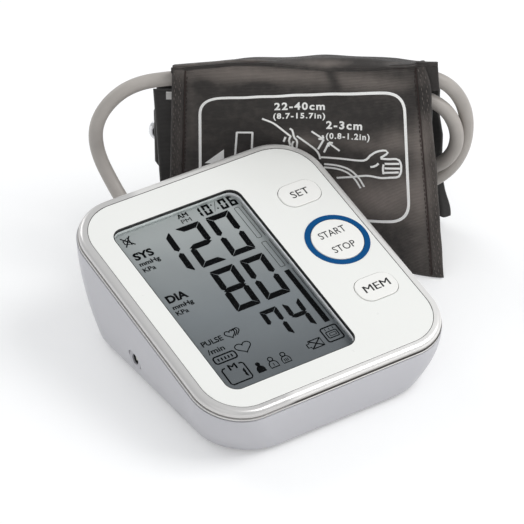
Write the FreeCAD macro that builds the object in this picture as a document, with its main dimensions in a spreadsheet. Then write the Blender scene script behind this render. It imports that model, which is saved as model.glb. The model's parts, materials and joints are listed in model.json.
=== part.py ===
import FreeCAD, Part
import math
import os
import re
import Sketcher

# Upper-arm blood pressure monitor: a wedge-shaped desk unit with a sloping display panel, and its folded
# cuff, which stands behind the unit at the end of its air hose.
# Unit frame: X to the right, Y to the back, Z up from the table, origin under the middle of the casing.
# Panel frame: the unit frame raised to the panel's face and tilted to its slope, so Z is the face's normal.
# Cuff frame: X along the folded cuff, Y away from the unit, Z up.

V = FreeCAD.Vector
doc = FreeCAD.newDocument("PressureMonitor")

sizes = {
    # casing
    "panelSlope": 14.2,
    "panelHeight": 49.5,
    "caseWidth": 143.0,
    "caseLength": 153.8,
    "caseCorner": 26.2,
    "baseCorner": 28.8,
    "sideDraw": 9.0,
    "frontDraw": 5.4,
    "rearDraw": 2.0,
    "drawPower": 1.76,
    "soleShare": 0.05,
    "soleInset": 1.6,
    "wall": 2.4,
    "floorThick": 2.4,
    "footHigh": 1.5,
    "rimWide": 5.0,
    "rimDepth": 3.2,
    "rimRound": 2.5,
    "rimInset": 0.8,
    "seamGap": 0.7,
    "seamLip": 0.9,
    "seamInset": 1.6,
    "lipInset": 0.3,
    "tongueDeep": 2.5,
    "tongueThick": 1.6,
    "fitGap": 0.2,
    "moveGap": 0.3,
    "shaftGap": 0.05,
    # front panel, window and display
    "panelThick": 2.4,
    "deckThick": 2.2,
    "windowX": -17.2,
    "windowY": -2.1,
    "windowWide": 75.0,
    "windowLong": 115.4,
    "windowCorner": 6.5,
    "lensThick": 1.2,
    "lensLap": 1.5,
    "glassLap": 1.0,
    "glassThick": 2.0,
    "frameWall": 1.2,
    "frameThick": 2.4,
    "stripWide": 3.0,
    "stripInset": 5.0,
    # keys and their switches
    "keyX": 47.8,
    "keyY": 2.0,
    "keyPitch": 35.3,
    "keyWide": 23.4,
    "keyLong": 15.8,
    "keyCorner": 7.0,
    "keyProud": 0.5,
    "keyRound": 0.45,
    "keyTravel": 0.6,
    "keyFlange": 1.0,
    "startFlange": 2.0,
    "ringSeat": 0.6,
    "flangeThick": 1.0,
    "stemRadius": 2.5,
    "ringOuter": 16.8,
    "ringInner": 13.9,
    "ringProud": 0.25,
    "switchSize": 6.0,
    "switchHigh": 3.4,
    "plungerRadius": 1.7,
    "plungerProud": 0.8,
    "plungerDeep": 1.4,
    # circuit board
    "boardX": -1.0,
    "boardWide": 116.0,
    "boardLong": 122.0,
    "boardCorner": 5.0,
    "boardThick": 1.6,
    "boardBossLeft": 28.0,
    "boardBossRight": 53.5,
    "boardBossY": 56.0,
    "boardBossRadius": 3.0,
    "boardScrewRadius": 1.2,
    "boardScrewBite": 3.0,
    "screwHeadRadius": 2.6,
    "screwHeadHigh": 1.8,
    "screwSlot": 0.8,
    "sensorX": 44.0,
    "sensorY": -13.6,
    "sensorSize": 9.0,
    "sensorHigh": 4.0,
    "sensorPort": 3.0,
    "beeperX": -20.0,
    "beeperY": 40.0,
    "beeperRadius": 6.0,
    "beeperHigh": 3.5,
    "beeperHole": 1.0,
    # posts and screws that close the casing
    "postX": 34.0,
    "postFrontY": -62.4,
    "postRearY": 66.2,
    "postRadius": 3.2,
    "postFrontTop": 18.0,
    "postRearTop": 45.0,
    "caseScrewRadius": 1.4,
    "caseHeadRadius": 2.4,
    "caseHeadSink": 4.0,
    "caseScrewBite": 7.0,
    # rubber feet
    "footX": 43.0,
    "footFrontY": -49.0,
    "footRearY": 52.0,
    "footRadius": 6.0,
    "footSink": 0.8,
    # battery bay
    "bayY": 20.5,
    "cellRadius": 7.1,
    "cellLong": 50.0,
    "cellGap": 0.6,
    "springRoom": 7.0,
    "bayWall": 1.6,
    "contactThick": 0.5,
    "contactHigh": 10.0,
    "contactSide": 1.5,
    "nubRadius": 2.7,
    "nubLong": 1.0,
    "springWide": 4.6,
    "springNarrow": 2.5,
    "springBore": 1.4,
    "doorThick": 2.0,
    "doorPinRadius": 0.7,
    "doorPinLong": 1.6,
    "doorRecess": 0.1,
    "gripLong": 14.0,
    "gripWide": 4.0,
    "gripDeep": 1.0,
    # pump, valves and inner air line
    "pumpX": 0.0,
    "pumpY": -25.0,
    "motorRadius": 12.0,
    "motorLong": 32.0,
    "headLong": 20.0,
    "headWall": 2.0,
    "headEnd": 5.0,
    "sleeveThick": 1.0,
    "sleeveLong": 7.0,
    "saddleFloor": 0.6,
    "saddleHigh": 8.0,
    "saddleThick": 3.0,
    "saddleInset": 6.0,
    "shaftRadius": 1.0,
    "shaftSeat": 4.0,
    "shaftOut": 9.0,
    "crankRadius": 4.5,
    "crankOff": 1.2,
    "crankLong": 3.0,
    "diaphragmThick": 2.0,
    "portRadius": 2.0,
    "portBore": 1.0,
    "portLong": 5.0,
    "tubeRadius": 2.6,
    "tubeRise": 10.0,
    "tubeBendX": 31.0,
    "tubeBendY": 17.0,
    "tubeBendHigh": 34.0,
    "tubeCrossX": 6.0,
    "tubeCrossY": 33.0,
    "tubeCrossHigh": 35.0,
    "tubeLead": 15.0,
    "manifoldWide": 10.0,
    "manifoldLong": 22.0,
    "manifoldHigh": 18.0,
    "linePortOff": 7.0,
    "valveWide": 14.0,
    "valveLong": 16.0,
    "valveHigh": 12.0,
    "valvePinRadius": 1.5,
    "valvePinLong": 10.0,
    "valvePinOut": 3.0,
    "valveCapRadius": 2.4,
    "valveCapLong": 1.2,
    "valveTravel": 1.0,
    "bleedLong": 9.0,
    "bleedRadius": 4.0,
    # air socket and mains adapter socket
    "socketX": -16.5,
    "socketHigh": 35.0,
    "socketFlange": 7.0,
    "socketFlangeThick": 1.2,
    "socketSeat": 0.45,
    "socketBarrel": 5.0,
    "socketBore": 2.6,
    "socketLong": 15.0,
    "jackY": 11.0,
    "jackHigh": 16.5,
    "jackRadius": 5.2,
    "jackHole": 2.8,
    "jackPin": 1.0,
    "jackDeep": 9.0,
    "jackLong": 14.0,
    "jackBlock": 11.0,
    "jackNeck": 5.0,
    "jackRecess": 0.3,
    # plug and hose of the cuff
    "plugCollar": 6.2,
    "plugBody": 5.2,
    "plugTail": 4.6,
    "plugCollarLong": 4.0,
    "plugLong": 11.0,
    "nozzleRadius": 2.55,
    "nozzleLong": 12.0,
    "plugTailLong": 6.0,
    "plugTailTurn": 11.0,
    "plugLead": 11.0,
    "hoseRadius": 3.75,
    # folded cuff
    "cuffTurn": 36.0,
    "cuffGap": 1.409,
    "flapLeft": -50.5,
    "flapRight": 92.0,
    "flapTopRight": 85.4,
    "flapLeftHigh": 109.5,
    "flapRightHigh": 116.5,
    "flapSwing": 23.5,
    "flapSwingFrom": 15.0,
    "flapSwingPower": 1.3,
    "fabricThick": 2.4,
    "layerGap": 0.3,
    "packLeft": -59.5,
    "packRight": 84.5,
    "packHigh": 88.0,
    "packFront": 12.0,
    "layerThick": 2.6,
    "bladderThick": 6.0,
    "ridgeDepth": 8.0,
    "ridgeDrop": 4.0,
    "ridgeCrown": 4.0,
    "foldDrop": 20.0,
    "creaseDeep": 3.36,
    "outerRight": 88.5,
    "bladderInset": 6.0,
    "tailRight": 95.0,
    "tailLow": 8.0,
    "tailHigh": 30.0,
    "patchThick": 1.2,
    "barWire": 1.8,
    "barLeft": -62.4,
    "barRight": 88.0,
    "barLow": 50.0,
    "barHigh": 59.0,
    "barCorner": 4.0,
    "elbowX": 18.0,
    "elbowHigh": 51.3,
    "elbowLong": 12.0,
    "elbowRadius": 4.4,
    "elbowTurn": 8.0,
    "elbowLead": 18.0,
    "elbowBase": 8.0,
    "elbowBaseThick": 1.2,
    "tagWide": 12.0,
    "tagHigh": 4.0,
    "tagProud": 3.0,
    "tagDrop": 0.8,
    "patchInset": 10.0,
    "patchLow": 6.0,
    "hoseFrontY": 7.5,
    # where the frame's origin lies in the unit frame; measured at the end of this file
    "middleX": 0.0,
    "middleY": 0.0,
}

sheet = doc.addObject("Spreadsheet::Sheet", "Sizes")
cells = {}
for row, (alias, value) in enumerate(sizes.items(), 1):
    cells[alias] = f"B{row}"
    sheet.set(f"A{row}", alias)
    sheet.set(cells[alias], str(value))
    sheet.setAlias(cells[alias], alias)
doc.recompute()
aliasWord = re.compile(r"\b(" + "|".join(sizes) + r")\b")

# heights shared by several parts, as formulas of the sheet; the first four are in the panel frame
splitDeep = "(rimDepth + 2 * seamGap + seamLip)"
deckLow = "(-panelThick - deckThick)"
glassTop = f"({deckLow} - fitGap)"
boardTop = f"({glassTop} - glassThick - frameThick)"
splitHigh = f"(panelHeight - {splitDeep} * cos(panelSlope))"
splitBack = f"({splitDeep} * sin(panelSlope))"
floorTop = "(footHigh + floorThick)"
cellPitch = "(2 * cellRadius + cellGap)"
bayWide = f"(4 * {cellPitch} + 2 * fitGap)"
bayLong = "(cellLong + springRoom)"
bayDeep = "(2 * cellRadius + moveGap)"
flangeTop = "(-panelThick - moveGap)"
plungerTop = f"({boardTop} + switchHigh + plungerProud)"
pumpHigh = f"({floorTop} + saddleFloor + sleeveThick + shaftGap + motorRadius)"
doorAxisY = f"(bayY - {bayLong} / 2 + moveGap + doorThick / 2)"
doorAxisHigh = "(footHigh + doorRecess + doorThick / 2)"
cornerAside = "(caseWidth / 2 - caseCorner) * sin(cuffTurn)"
cornerBack = "(caseLength / 2 - caseCorner) * cos(panelSlope) * cos(cuffTurn)"
cuffAway = f"({cornerAside} + {cornerBack} + caseCorner + cuffGap)"
keyRows = (("Set", "keyY + keyPitch"), ("Memory", "keyY - keyPitch"))
postSpots = [(x, y, top) for x in ("-postX", "postX")
             for y, top in (("postFrontY", "postFrontTop"), ("postRearY", "postRearTop"))]
footSpots = [(x, y) for x in ("-footX", "footX") for y in ("footFrontY", "footRearY")]
boardSpots = [(x, y) for x in ("boardBossLeft", "boardBossRight") for y in ("-boardBossY", "boardBossY")]
saddleSpots = ("pumpX - motorLong + saddleInset", "pumpX + headLong - saddleInset")
nodes = {}
cordNodes = ["air_hose"]


def size(text):
    """The value of a sheet formula, as a plain number."""
    return float(sheet.evalExpression(text))


def bind(thing, formulas):
    """Tie properties of an object to formulas of the sheet's aliases."""
    for name, text in formulas.items():
        thing.setExpression(name, aliasWord.sub(r"Sizes.\1", text))


def put(thing, x="0", y="0", z="0", angle="0", axis=V(0, 0, 1)):
    """Tie an object's Placement to formulas."""
    thing.Placement = FreeCAD.Placement(V(0, 0, 0), FreeCAD.Rotation(axis, 1))
    bind(thing, {"Placement.Base.x": x, "Placement.Base.y": y, "Placement.Base.z": z})
    bind(thing, {"Placement.Rotation.Angle": angle})
    return thing


def node(thing, label, frame="unit"):
    """Name a finished sub-part and set it in the unit, the panel or the cuff frame."""
    thing.Label = label
    nodes[label] = thing
    if frame == "panel":
        return put(thing, "-middleX", "-middleY", "panelHeight", "panelSlope", V(1, 0, 0))
    if frame == "cuff":
        away = (f"{cuffAway} * sin(cuffTurn) - middleX", f"{cuffAway} * cos(cuffTurn) - middleY", "0")
        return put(thing, *away, "-cuffTurn", V(0, 0, 1))
    return put(thing, "-middleX", "-middleY")


def block(name, wide, deep, high, x="0", y="0", z="0"):
    """A box centred on x and y, standing on z."""
    thing = doc.addObject("Part::Box", name)
    bind(thing, {"Length": wide, "Width": deep, "Height": high})
    bind(thing, {"Placement.Base.x": f"{x} - ({wide}) / 2", "Placement.Base.y": f"{y} - ({deep}) / 2"})
    bind(thing, {"Placement.Base.z": z})
    return thing


turned = {"x": ("90", V(0, 1, 0)), "y": ("-90", V(1, 0, 0)), "z": ("0", V(0, 0, 1))}


def rod(name, radius, long, x="0", y="0", z="0", along="z"):
    """A cylinder that starts at x, y, z and runs along one axis."""
    thing = doc.addObject("Part::Cylinder", name)
    bind(thing, {"Radius": radius, "Height": long})
    return put(thing, x, y, z, *turned[along])


def fuse(name, *things):
    thing = doc.addObject("Part::MultiFuse", name)
    thing.Shapes = list(things)
    thing.Refine = True
    return thing


def cut(name, base, *tools):
    thing = doc.addObject("Part::Cut", name)
    thing.Base = base
    thing.Tool = tools[0] if len(tools) == 1 else fuse(name + "Tools", *tools)
    return thing


def group(name, *things):
    """One or more separate solids that are one node."""
    thing = doc.addObject("Part::Compound", name)
    thing.Links = list(things)
    return thing


def body(name):
    return doc.addObject("PartDesign::Body", name)


def sketchOn(owner, name, x="0", y="0", z="0", tilt="0"):
    """An empty sketch on the body's own XY plane, moved and tilted about X."""
    thing = owner.newObject("Sketcher::SketchObject", name)
    ground = [f for f in owner.Origin.OriginFeatures if f.Role == "XY_Plane"][0]
    thing.AttachmentSupport = (ground, [""])
    thing.MapMode = "FlatFace"
    thing.AttachmentOffset = FreeCAD.Placement(V(0, 0, 0), FreeCAD.Rotation(V(1, 0, 0), 1))
    bind(thing, {"AttachmentOffset.Base.x": x, "AttachmentOffset.Base.y": y})
    bind(thing, {"AttachmentOffset.Base.z": z, "AttachmentOffset.Rotation.Angle": tilt})
    return thing


def roundedSketch(owner, name, wide, front, back, corner, **place):
    """A rounded rectangle: its width, how far it reaches to the front and back, and its corner radius."""
    thing = sketchOn(owner, name, **place)
    w, f, b, r = 20.0, 20.0, 20.0, 5.0
    turns = [(w - r, r - f, -90), (w - r, b - r, 0), (r - w, b - r, 90), (r - w, r - f, 180)]
    ends = [(r - w, -f, w - r, -f), (w, r - f, w, b - r), (w - r, b, r - w, b), (-w, b - r, -w, r - f)]
    for (x0, y0, x1, y1), (cx, cy, start) in zip(ends, turns):
        thing.addGeometry(Part.LineSegment(V(x0, y0, 0), V(x1, y1, 0)), False)
        circle = Part.Circle(V(cx, cy, 0), V(0, 0, 1), r)
        a0 = math.radians(start)
        thing.addGeometry(Part.ArcOfCircle(circle, a0, a0 + math.pi / 2), False)
    rules = [Sketcher.Constraint("Tangent", i, 2, (i + 1) % 8, 1) for i in range(8)]
    rules += [Sketcher.Constraint(k, i) for k, i in (("Horizontal", 0), ("Vertical", 2))]
    rules += [Sketcher.Constraint(k, i) for k, i in (("Horizontal", 4), ("Vertical", 6))]
    rules += [Sketcher.Constraint("Equal", 1, i) for i in (3, 5, 7)]
    thing.addConstraint(rules)
    named = {
        "right": (Sketcher.Constraint("DistanceX", -1, 1, 2, 1, w), f"({wide}) / 2"),
        "left": (Sketcher.Constraint("DistanceX", 6, 1, -1, 1, w), f"({wide}) / 2"),
        "front": (Sketcher.Constraint("DistanceY", 0, 1, -1, 1, f), front),
        "back": (Sketcher.Constraint("DistanceY", -1, 1, 4, 1, b), back),
        "corner": (Sketcher.Constraint("Radius", 1, r), corner),
    }
    for word, (rule, text) in named.items():
        thing.renameConstraint(thing.addConstraint(rule), word)
        bind(thing, {f"Constraints.{word}": text})
    return thing


def panelSketch(owner, name, wide, long, corner, **place):
    """A rounded rectangle that is centred on its own place."""
    half = f"({long}) / 2"
    return roundedSketch(owner, name, wide, half, half, corner, **place)


def circleSketch(owner, name, radius, **place):
    thing = sketchOn(owner, name, **place)
    thing.addGeometry(Part.Circle(V(0, 0, 0), V(0, 0, 1), 5.0), False)
    thing.addConstraint(Sketcher.Constraint("Coincident", 0, 3, -1, 1))
    thing.renameConstraint(thing.addConstraint(Sketcher.Constraint("Radius", 0, 5.0)), "radius")
    bind(thing, {"Constraints.radius": radius})
    return thing


def extrude(kind, owner, sketch, long, reversedWay=False):
    """A Pad rises from its sketch and a Pocket sinks below it, or the other way when reversed."""
    thing = owner.newObject(kind, sketch.Name + kind.split("::")[1])
    thing.Profile = sketch
    thing.Reversed = reversedWay
    bind(thing, {"Length": long})
    return thing


def pad(owner, sketch, long, reversedWay=False):
    return extrude("PartDesign::Pad", owner, sketch, long, reversedWay)


def pocket(owner, sketch, long, reversedWay=False):
    return extrude("PartDesign::Pocket", owner, sketch, long, reversedWay)


def loft(owner, name, sketches, ruled=False):
    thing = owner.newObject("PartDesign::AdditiveLoft", name)
    thing.Profile = sketches[0]
    thing.Sections = [(s, [""]) for s in sketches[1:]]
    thing.Ruled = ruled
    return thing


def roundEdges(owner, feature, radius, chosen):
    """Fillet the edges of a feature that the test picks."""
    doc.recompute()
    names = [f"Edge{i}" for i, e in enumerate(feature.Shape.Edges, 1) if chosen(e)]
    thing = owner.newObject("PartDesign::Fillet", feature.Name + "Fillet")
    thing.Base = (feature, names)
    bind(thing, {"Radius": radius})
    owner.Tip = thing
    return thing


def solidNode(shape, label, frame):
    """A sub-part whose shape is worked out directly from the sheet's values."""
    thing = doc.addObject("Part::Feature", label)
    thing.Shape = shape
    return node(thing, label, frame)


# ---------------------------------------------------------------- casing
def wallSection(owner, name, share, inset="0", high=None):
    """The casing's outline at a share of the way from its base to the seam under the rim: the planes fan
    from level to the panel's slope, and the walls draw in towards the base along a power curve."""
    drawn = f"((1 - {share}) ^ drawPower)"
    tilt = f"atan({share} * tan(panelSlope))"
    half = "caseLength / 2 * cos(panelSlope)"
    front = f"({half} - frontDraw * {drawn}) / cos({tilt}) - {inset}"
    back = f"({half} - rearDraw * {drawn}) / cos({tilt}) - {inset}"
    wide = f"caseWidth - 2 * sideDraw * {drawn} - 2 * {inset}"
    corner = f"caseCorner + (baseCorner - caseCorner) * {drawn} - {inset}"
    high = high or f"footHigh + {share} * ({splitHigh} - footHigh)"
    return roundedSketch(owner, name, wide, front, back, corner, y=f"{share} * {splitBack}", z=high, tilt=tilt)


def lowerCase():
    """The lofted tub with its battery bay, screw posts, foot seats, pump saddles and socket openings."""
    skin, room = body("Skin"), body("Room")
    sole = wallSection(skin, "SkinSole", "0", "soleInset")
    sides = [wallSection(skin, f"SkinOutline{i}", s) for i, s in enumerate(("soleShare", "0.3", "0.65", "1"))]
    loft(skin, "SoleLoft", [sole, sides[0]], ruled=True)
    loft(skin, "SkinLoft", sides)
    inside = [wallSection(room, "RoomFloor", "0", "wall", floorTop)]
    inside += [wallSection(room, f"RoomOutline{i}", s, "wall") for i, s in enumerate(("0.3", "0.65", "1"))]
    loft(room, "RoomLoft", inside)
    tub = cut("Tub", skin, room)
    added = [block("Bay", f"{bayWide} + 2 * bayWall", f"{bayLong} + 2 * bayWall", f"{bayDeep} + bayWall",
                   y="bayY", z=floorTop)]
    taken = [block("BayRoom", bayWide, bayLong, f"2 * footHigh + floorThick + {bayDeep}",
                   y="bayY", z="-footHigh")]
    for i, (x, y, top) in enumerate(postSpots):
        added.append(rod(f"Post{i}", "postRadius", f"{top} - {floorTop}", x, y, floorTop))
        taken.append(rod(f"ScrewWay{i}", "caseScrewRadius + fitGap", f"{top} + footHigh", x, y))
        taken.append(rod(f"ScrewSink{i}", "caseHeadRadius + fitGap", "footHigh + caseHeadSink", x, y))
    for i, (x, y) in enumerate(footSpots):
        taken.append(rod(f"FootSeat{i}", "footRadius + fitGap", "footHigh + footSink", x, y))
    for i, x in enumerate(saddleSpots):
        added.append(block(f"Saddle{i}", "saddleThick", "2 * motorRadius", "saddleHigh", x, "pumpY", floorTop))
    taken.append(rod("PumpWay", "motorRadius + sleeveThick + shaftGap", "2 * (motorLong + headLong)",
                     "pumpX - 2 * motorLong", "pumpY", pumpHigh, "x"))
    taken.append(rod("SocketWay", "socketBarrel + fitGap", "4 * wall", "socketX",
                     f"{rearFace('socketHigh')} - 2 * wall", "socketHigh", "y"))
    taken.append(rod("JackWay", "jackRadius + fitGap", "4 * wall", f"{leftFace('jackHigh', 'jackY')} - 2 * wall",
                     "jackY", "jackHigh", "x"))
    taken.append(rod("DoorPinWay", "doorPinRadius + shaftGap", f"{bayWide} + 2 * doorPinLong + 2 * moveGap",
                     f"-{bayWide} / 2 - doorPinLong - moveGap", doorAxisY, doorAxisHigh, "x"))
    node(cut("LowerCase", fuse("TubFitted", tub, *added), *taken), "lower_case")


def rearFace(high):
    """How far back the rear wall's outside lies at a height."""
    rear = "(caseLength / 2 * cos(panelSlope))"
    share = f"(({high} - footHigh) / ({splitHigh} + {rear} * tan(panelSlope) - footHigh))"
    return f"({rear} + {share} * {splitBack} - rearDraw * (1 - {share}) ^ drawPower)"


def leftFace(high, y):
    """How far left the left wall's outside lies at a height, as a negative X."""
    share = f"(({high} - footHigh) / ({splitHigh} + ({y} - {splitBack}) * tan(panelSlope) - footHigh))"
    return f"(-caseWidth / 2 + sideDraw * (1 - {share}) ^ drawPower)"


def topCase():
    """The silver rim with its seam lip, the deck under the front panel and the board's bosses."""
    rim = body("Rim")
    steps = (("Rim", "0", "rimDepth", "rimInset"),
             ("SeamUpper", "-rimDepth", "seamGap", "seamInset"),
             ("SeamLip", "-rimDepth - seamGap", "seamLip", "lipInset"),
             ("SeamLower", "-rimDepth - seamGap - seamLip", "seamGap", "seamInset"),
             ("Tongue", f"-{splitDeep}", "tongueDeep", "wall + fitGap"))
    lean = "tongueDeep * tan(panelSlope)"
    for name, top, deep, inset in steps:
        long = f"caseLength - 2 * ({inset})"
        if name == "Tongue":
            long += f" - 2 * {lean}"
        ring = panelSketch(rim, name + "Outline", f"caseWidth - 2 * ({inset})", long,
                           f"caseCorner - ({inset})", z=top)
        last = pad(rim, ring, deep, reversedWay=True)
        if name == "Rim":
            roundEdges(rim, last, "rimRound", lambda e: e.BoundBox.ZMin > -0.01)
    seat = panelSketch(rim, "PanelSeat", "caseWidth - 2 * rimWide", "caseLength - 2 * rimWide",
                       "caseCorner - rimWide", z="0")
    pocket(rim, seat, "panelThick")
    inner = "(wall + fitGap + tongueThick)"
    room = panelSketch(rim, "DeckUnderside", f"caseWidth - 2 * {inner}",
                       f"caseLength - 2 * {inner} - 2 * {lean}", f"caseCorner - {inner}", z=deckLow)
    pocket(rim, room, f"{splitDeep} + tongueDeep - panelThick - deckThick + 1")
    lens = panelSketch(rim, "LensSeat", "windowWide + 2 * lensLap + 2 * fitGap",
                       "windowLong + 2 * lensLap + 2 * fitGap", "windowCorner + lensLap",
                       x="windowX", y="windowY", z="-panelThick")
    pocket(rim, lens, "lensThick")
    view = panelSketch(rim, "DeckWindow", "windowWide", "windowLong", "windowCorner",
                       x="windowX", y="windowY", z="-panelThick")
    pocket(rim, view, "deckThick + 1")
    start = circleSketch(rim, "DeckStart", "ringOuter - ringSeat", x="keyX", y="keyY", z="-panelThick")
    pocket(rim, start, "deckThick + 1")
    for name, y in keyRows:
        hole = panelSketch(rim, "Deck" + name, "keyWide + 2 * keyFlange + 2 * moveGap",
                           "keyLong + 2 * keyFlange + 2 * moveGap", "keyCorner + keyFlange",
                           x="keyX", y=y, z="-panelThick")
        pocket(rim, hole, "deckThick + 1")
    put(rim, z="panelHeight", angle="panelSlope", axis=V(1, 0, 0))
    bosses, pilots = [], []
    deckMid = "(panelHeight - (panelThick + deckThick / 2) / cos(panelSlope))"
    for i, (x, y, low) in enumerate(postSpots):
        bosses.append(rod(f"Boss{i}", "postRadius", f"{deckMid} + {y} * tan(panelSlope) - {low}", x, y, low))
        pilots.append(rod(f"Pilot{i}", "caseScrewRadius", "caseScrewBite + 1", x, y, f"{low} - 0.5"))
    shell = fuse("TopShell", rim, *bosses)
    drilled = cut("TopDrilled", shell, *pilots)
    boardBosses, boardPilots = [], []
    for i, (x, y) in enumerate(boardSpots):
        boss = rod(f"BoardBoss{i}", "boardBossRadius", f"{deckLow} - {boardTop}", x, y, boardTop)
        boardBosses.append(boss)
        boardPilots.append(rod(f"BoardPilot{i}", "boardScrewRadius", "boardScrewBite + 1", x, y,
                               f"{boardTop} - 0.5"))
    studs = cut("BoardStuds", group("BoardBosses", *boardBosses), *boardPilots)
    put(studs, z="panelHeight", angle="panelSlope", axis=V(1, 0, 0))
    node(fuse("TopCase", drilled, studs), "top_case")


def frontPanel():
    """The white front panel, let into the rim, with its window and key holes."""
    plate = body("Plate")
    outline = panelSketch(plate, "PlateOutline", "caseWidth - 2 * rimWide - 2 * fitGap",
                          "caseLength - 2 * rimWide - 2 * fitGap", "caseCorner - rimWide - fitGap")
    plateBody = pad(plate, outline, "panelThick", reversedWay=True)
    roundEdges(plate, plateBody, "keyRound", lambda e: e.BoundBox.ZMin > -0.01)
    window = panelSketch(plate, "Window", "windowWide", "windowLong", "windowCorner",
                         x="windowX", y="windowY")
    pocket(plate, window, "panelThick + 1")
    start = circleSketch(plate, "StartHole", "ringOuter + shaftGap", x="keyX", y="keyY", z="0")
    pocket(plate, start, "panelThick + 1")
    for name, y in keyRows:
        hole = panelSketch(plate, name + "Hole", "keyWide", "keyLong", "keyCorner", x="keyX", y=y)
        pocket(plate, hole, "panelThick + 1")
    node(plate, "front_panel", "panel")


def inPanel(x, y):
    """Formulas for the unit-frame place of a point on the panel's face."""
    return (f"{x} - middleX", f"({y}) * cos(panelSlope) - middleY",
            f"panelHeight + ({y}) * sin(panelSlope)")


def keyCap(cap, top, flange, label, y):
    """A cap on its flange, which holds it under the panel, with a stem that stands over its switch."""
    crown = pad(cap, top, f"keyProud - {flangeTop}", reversedWay=True)
    rise = size("keyProud") - 0.01
    roundEdges(cap, crown, "keyRound", lambda e: e.BoundBox.ZMin > rise)
    pad(cap, flange, "flangeThick", reversedWay=True)
    stem = circleSketch(cap, cap.Name + "Stem", "stemRadius", z=f"{flangeTop} - flangeThick")
    pad(cap, stem, f"{flangeTop} - flangeThick - {plungerTop}", reversedWay=True)
    node(cap, label)
    put(cap, *inPanel("keyX", y), "panelSlope", V(1, 0, 0))


def keys():
    for name, y in keyRows:
        cap = body(name + "Cap")
        top = panelSketch(cap, name + "Top", "keyWide - 2 * moveGap", "keyLong - 2 * moveGap",
                          "keyCorner - moveGap", z="keyProud")
        flange = panelSketch(cap, name + "Flange", "keyWide + 2 * keyFlange", "keyLong + 2 * keyFlange",
                             "keyCorner + keyFlange", z=flangeTop)
        keyCap(cap, top, flange, name.lower() + "_button", y)
    cap = body("StartCap")
    top = circleSketch(cap, "StartTop", "ringInner - moveGap", z="keyProud")
    flange = circleSketch(cap, "StartFlange", "ringInner + startFlange", z=flangeTop)
    keyCap(cap, top, flange, "start_stop_button", "keyY")
    band = body("Ring")
    outside = circleSketch(band, "RingOutside", "ringOuter", z="ringProud")
    pad(band, outside, "ringProud + panelThick", reversedWay=True)
    inside = circleSketch(band, "RingInside", "ringInner", z="ringProud")
    pocket(band, inside, "ringProud + panelThick + 1")
    node(band, "start_ring")
    put(band, *inPanel("keyX", "keyY"), "panelSlope", V(1, 0, 0))


def display():
    """The clear lens, the display glass, its carrier frame and the contact strip under it."""
    lens = body("Lens")
    outline = panelSketch(lens, "LensOutline", "windowWide + 2 * lensLap", "windowLong + 2 * lensLap",
                          "windowCorner + lensLap", x="windowX", y="windowY", z="-panelThick")
    pad(lens, outline, "lensThick", reversedWay=True)
    node(lens, "display_lens", "panel")
    place = {"x": "windowX", "y": "windowY"}
    glass = block("Glass", "windowWide + 2 * glassLap", "windowLong + 2 * glassLap", "glassThick",
                  z=f"{glassTop} - glassThick", **place)
    node(group("GlassPane", glass), "display_glass", "panel")
    wide = "(windowWide + 2 * glassLap + 2 * fitGap)"
    long = "(windowLong + 2 * glassLap + 2 * fitGap)"
    outer = block("FrameOuter", f"{wide} + 2 * frameWall", f"{long} + 2 * frameWall",
                  "frameThick + glassThick", z=boardTop, **place)
    inner = block("FrameInner", wide, long, "glassThick + 1", z=f"{boardTop} + frameThick", **place)
    slot = block("FrameSlot", "windowWide", "stripWide + 2 * fitGap", "frameThick + 1",
                 "windowX", f"windowY - {long} / 2 + stripInset", f"{boardTop} - 0.5")
    node(cut("Frame", outer, inner, slot), "display_frame", "panel")
    contacts = block("Strip", "windowWide - 2 * fitGap", "stripWide", "frameThick",
                  "windowX", f"windowY - {long} / 2 + stripInset", boardTop)
    node(group("ContactStrip", contacts), "display_contact_strip", "panel")


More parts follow.
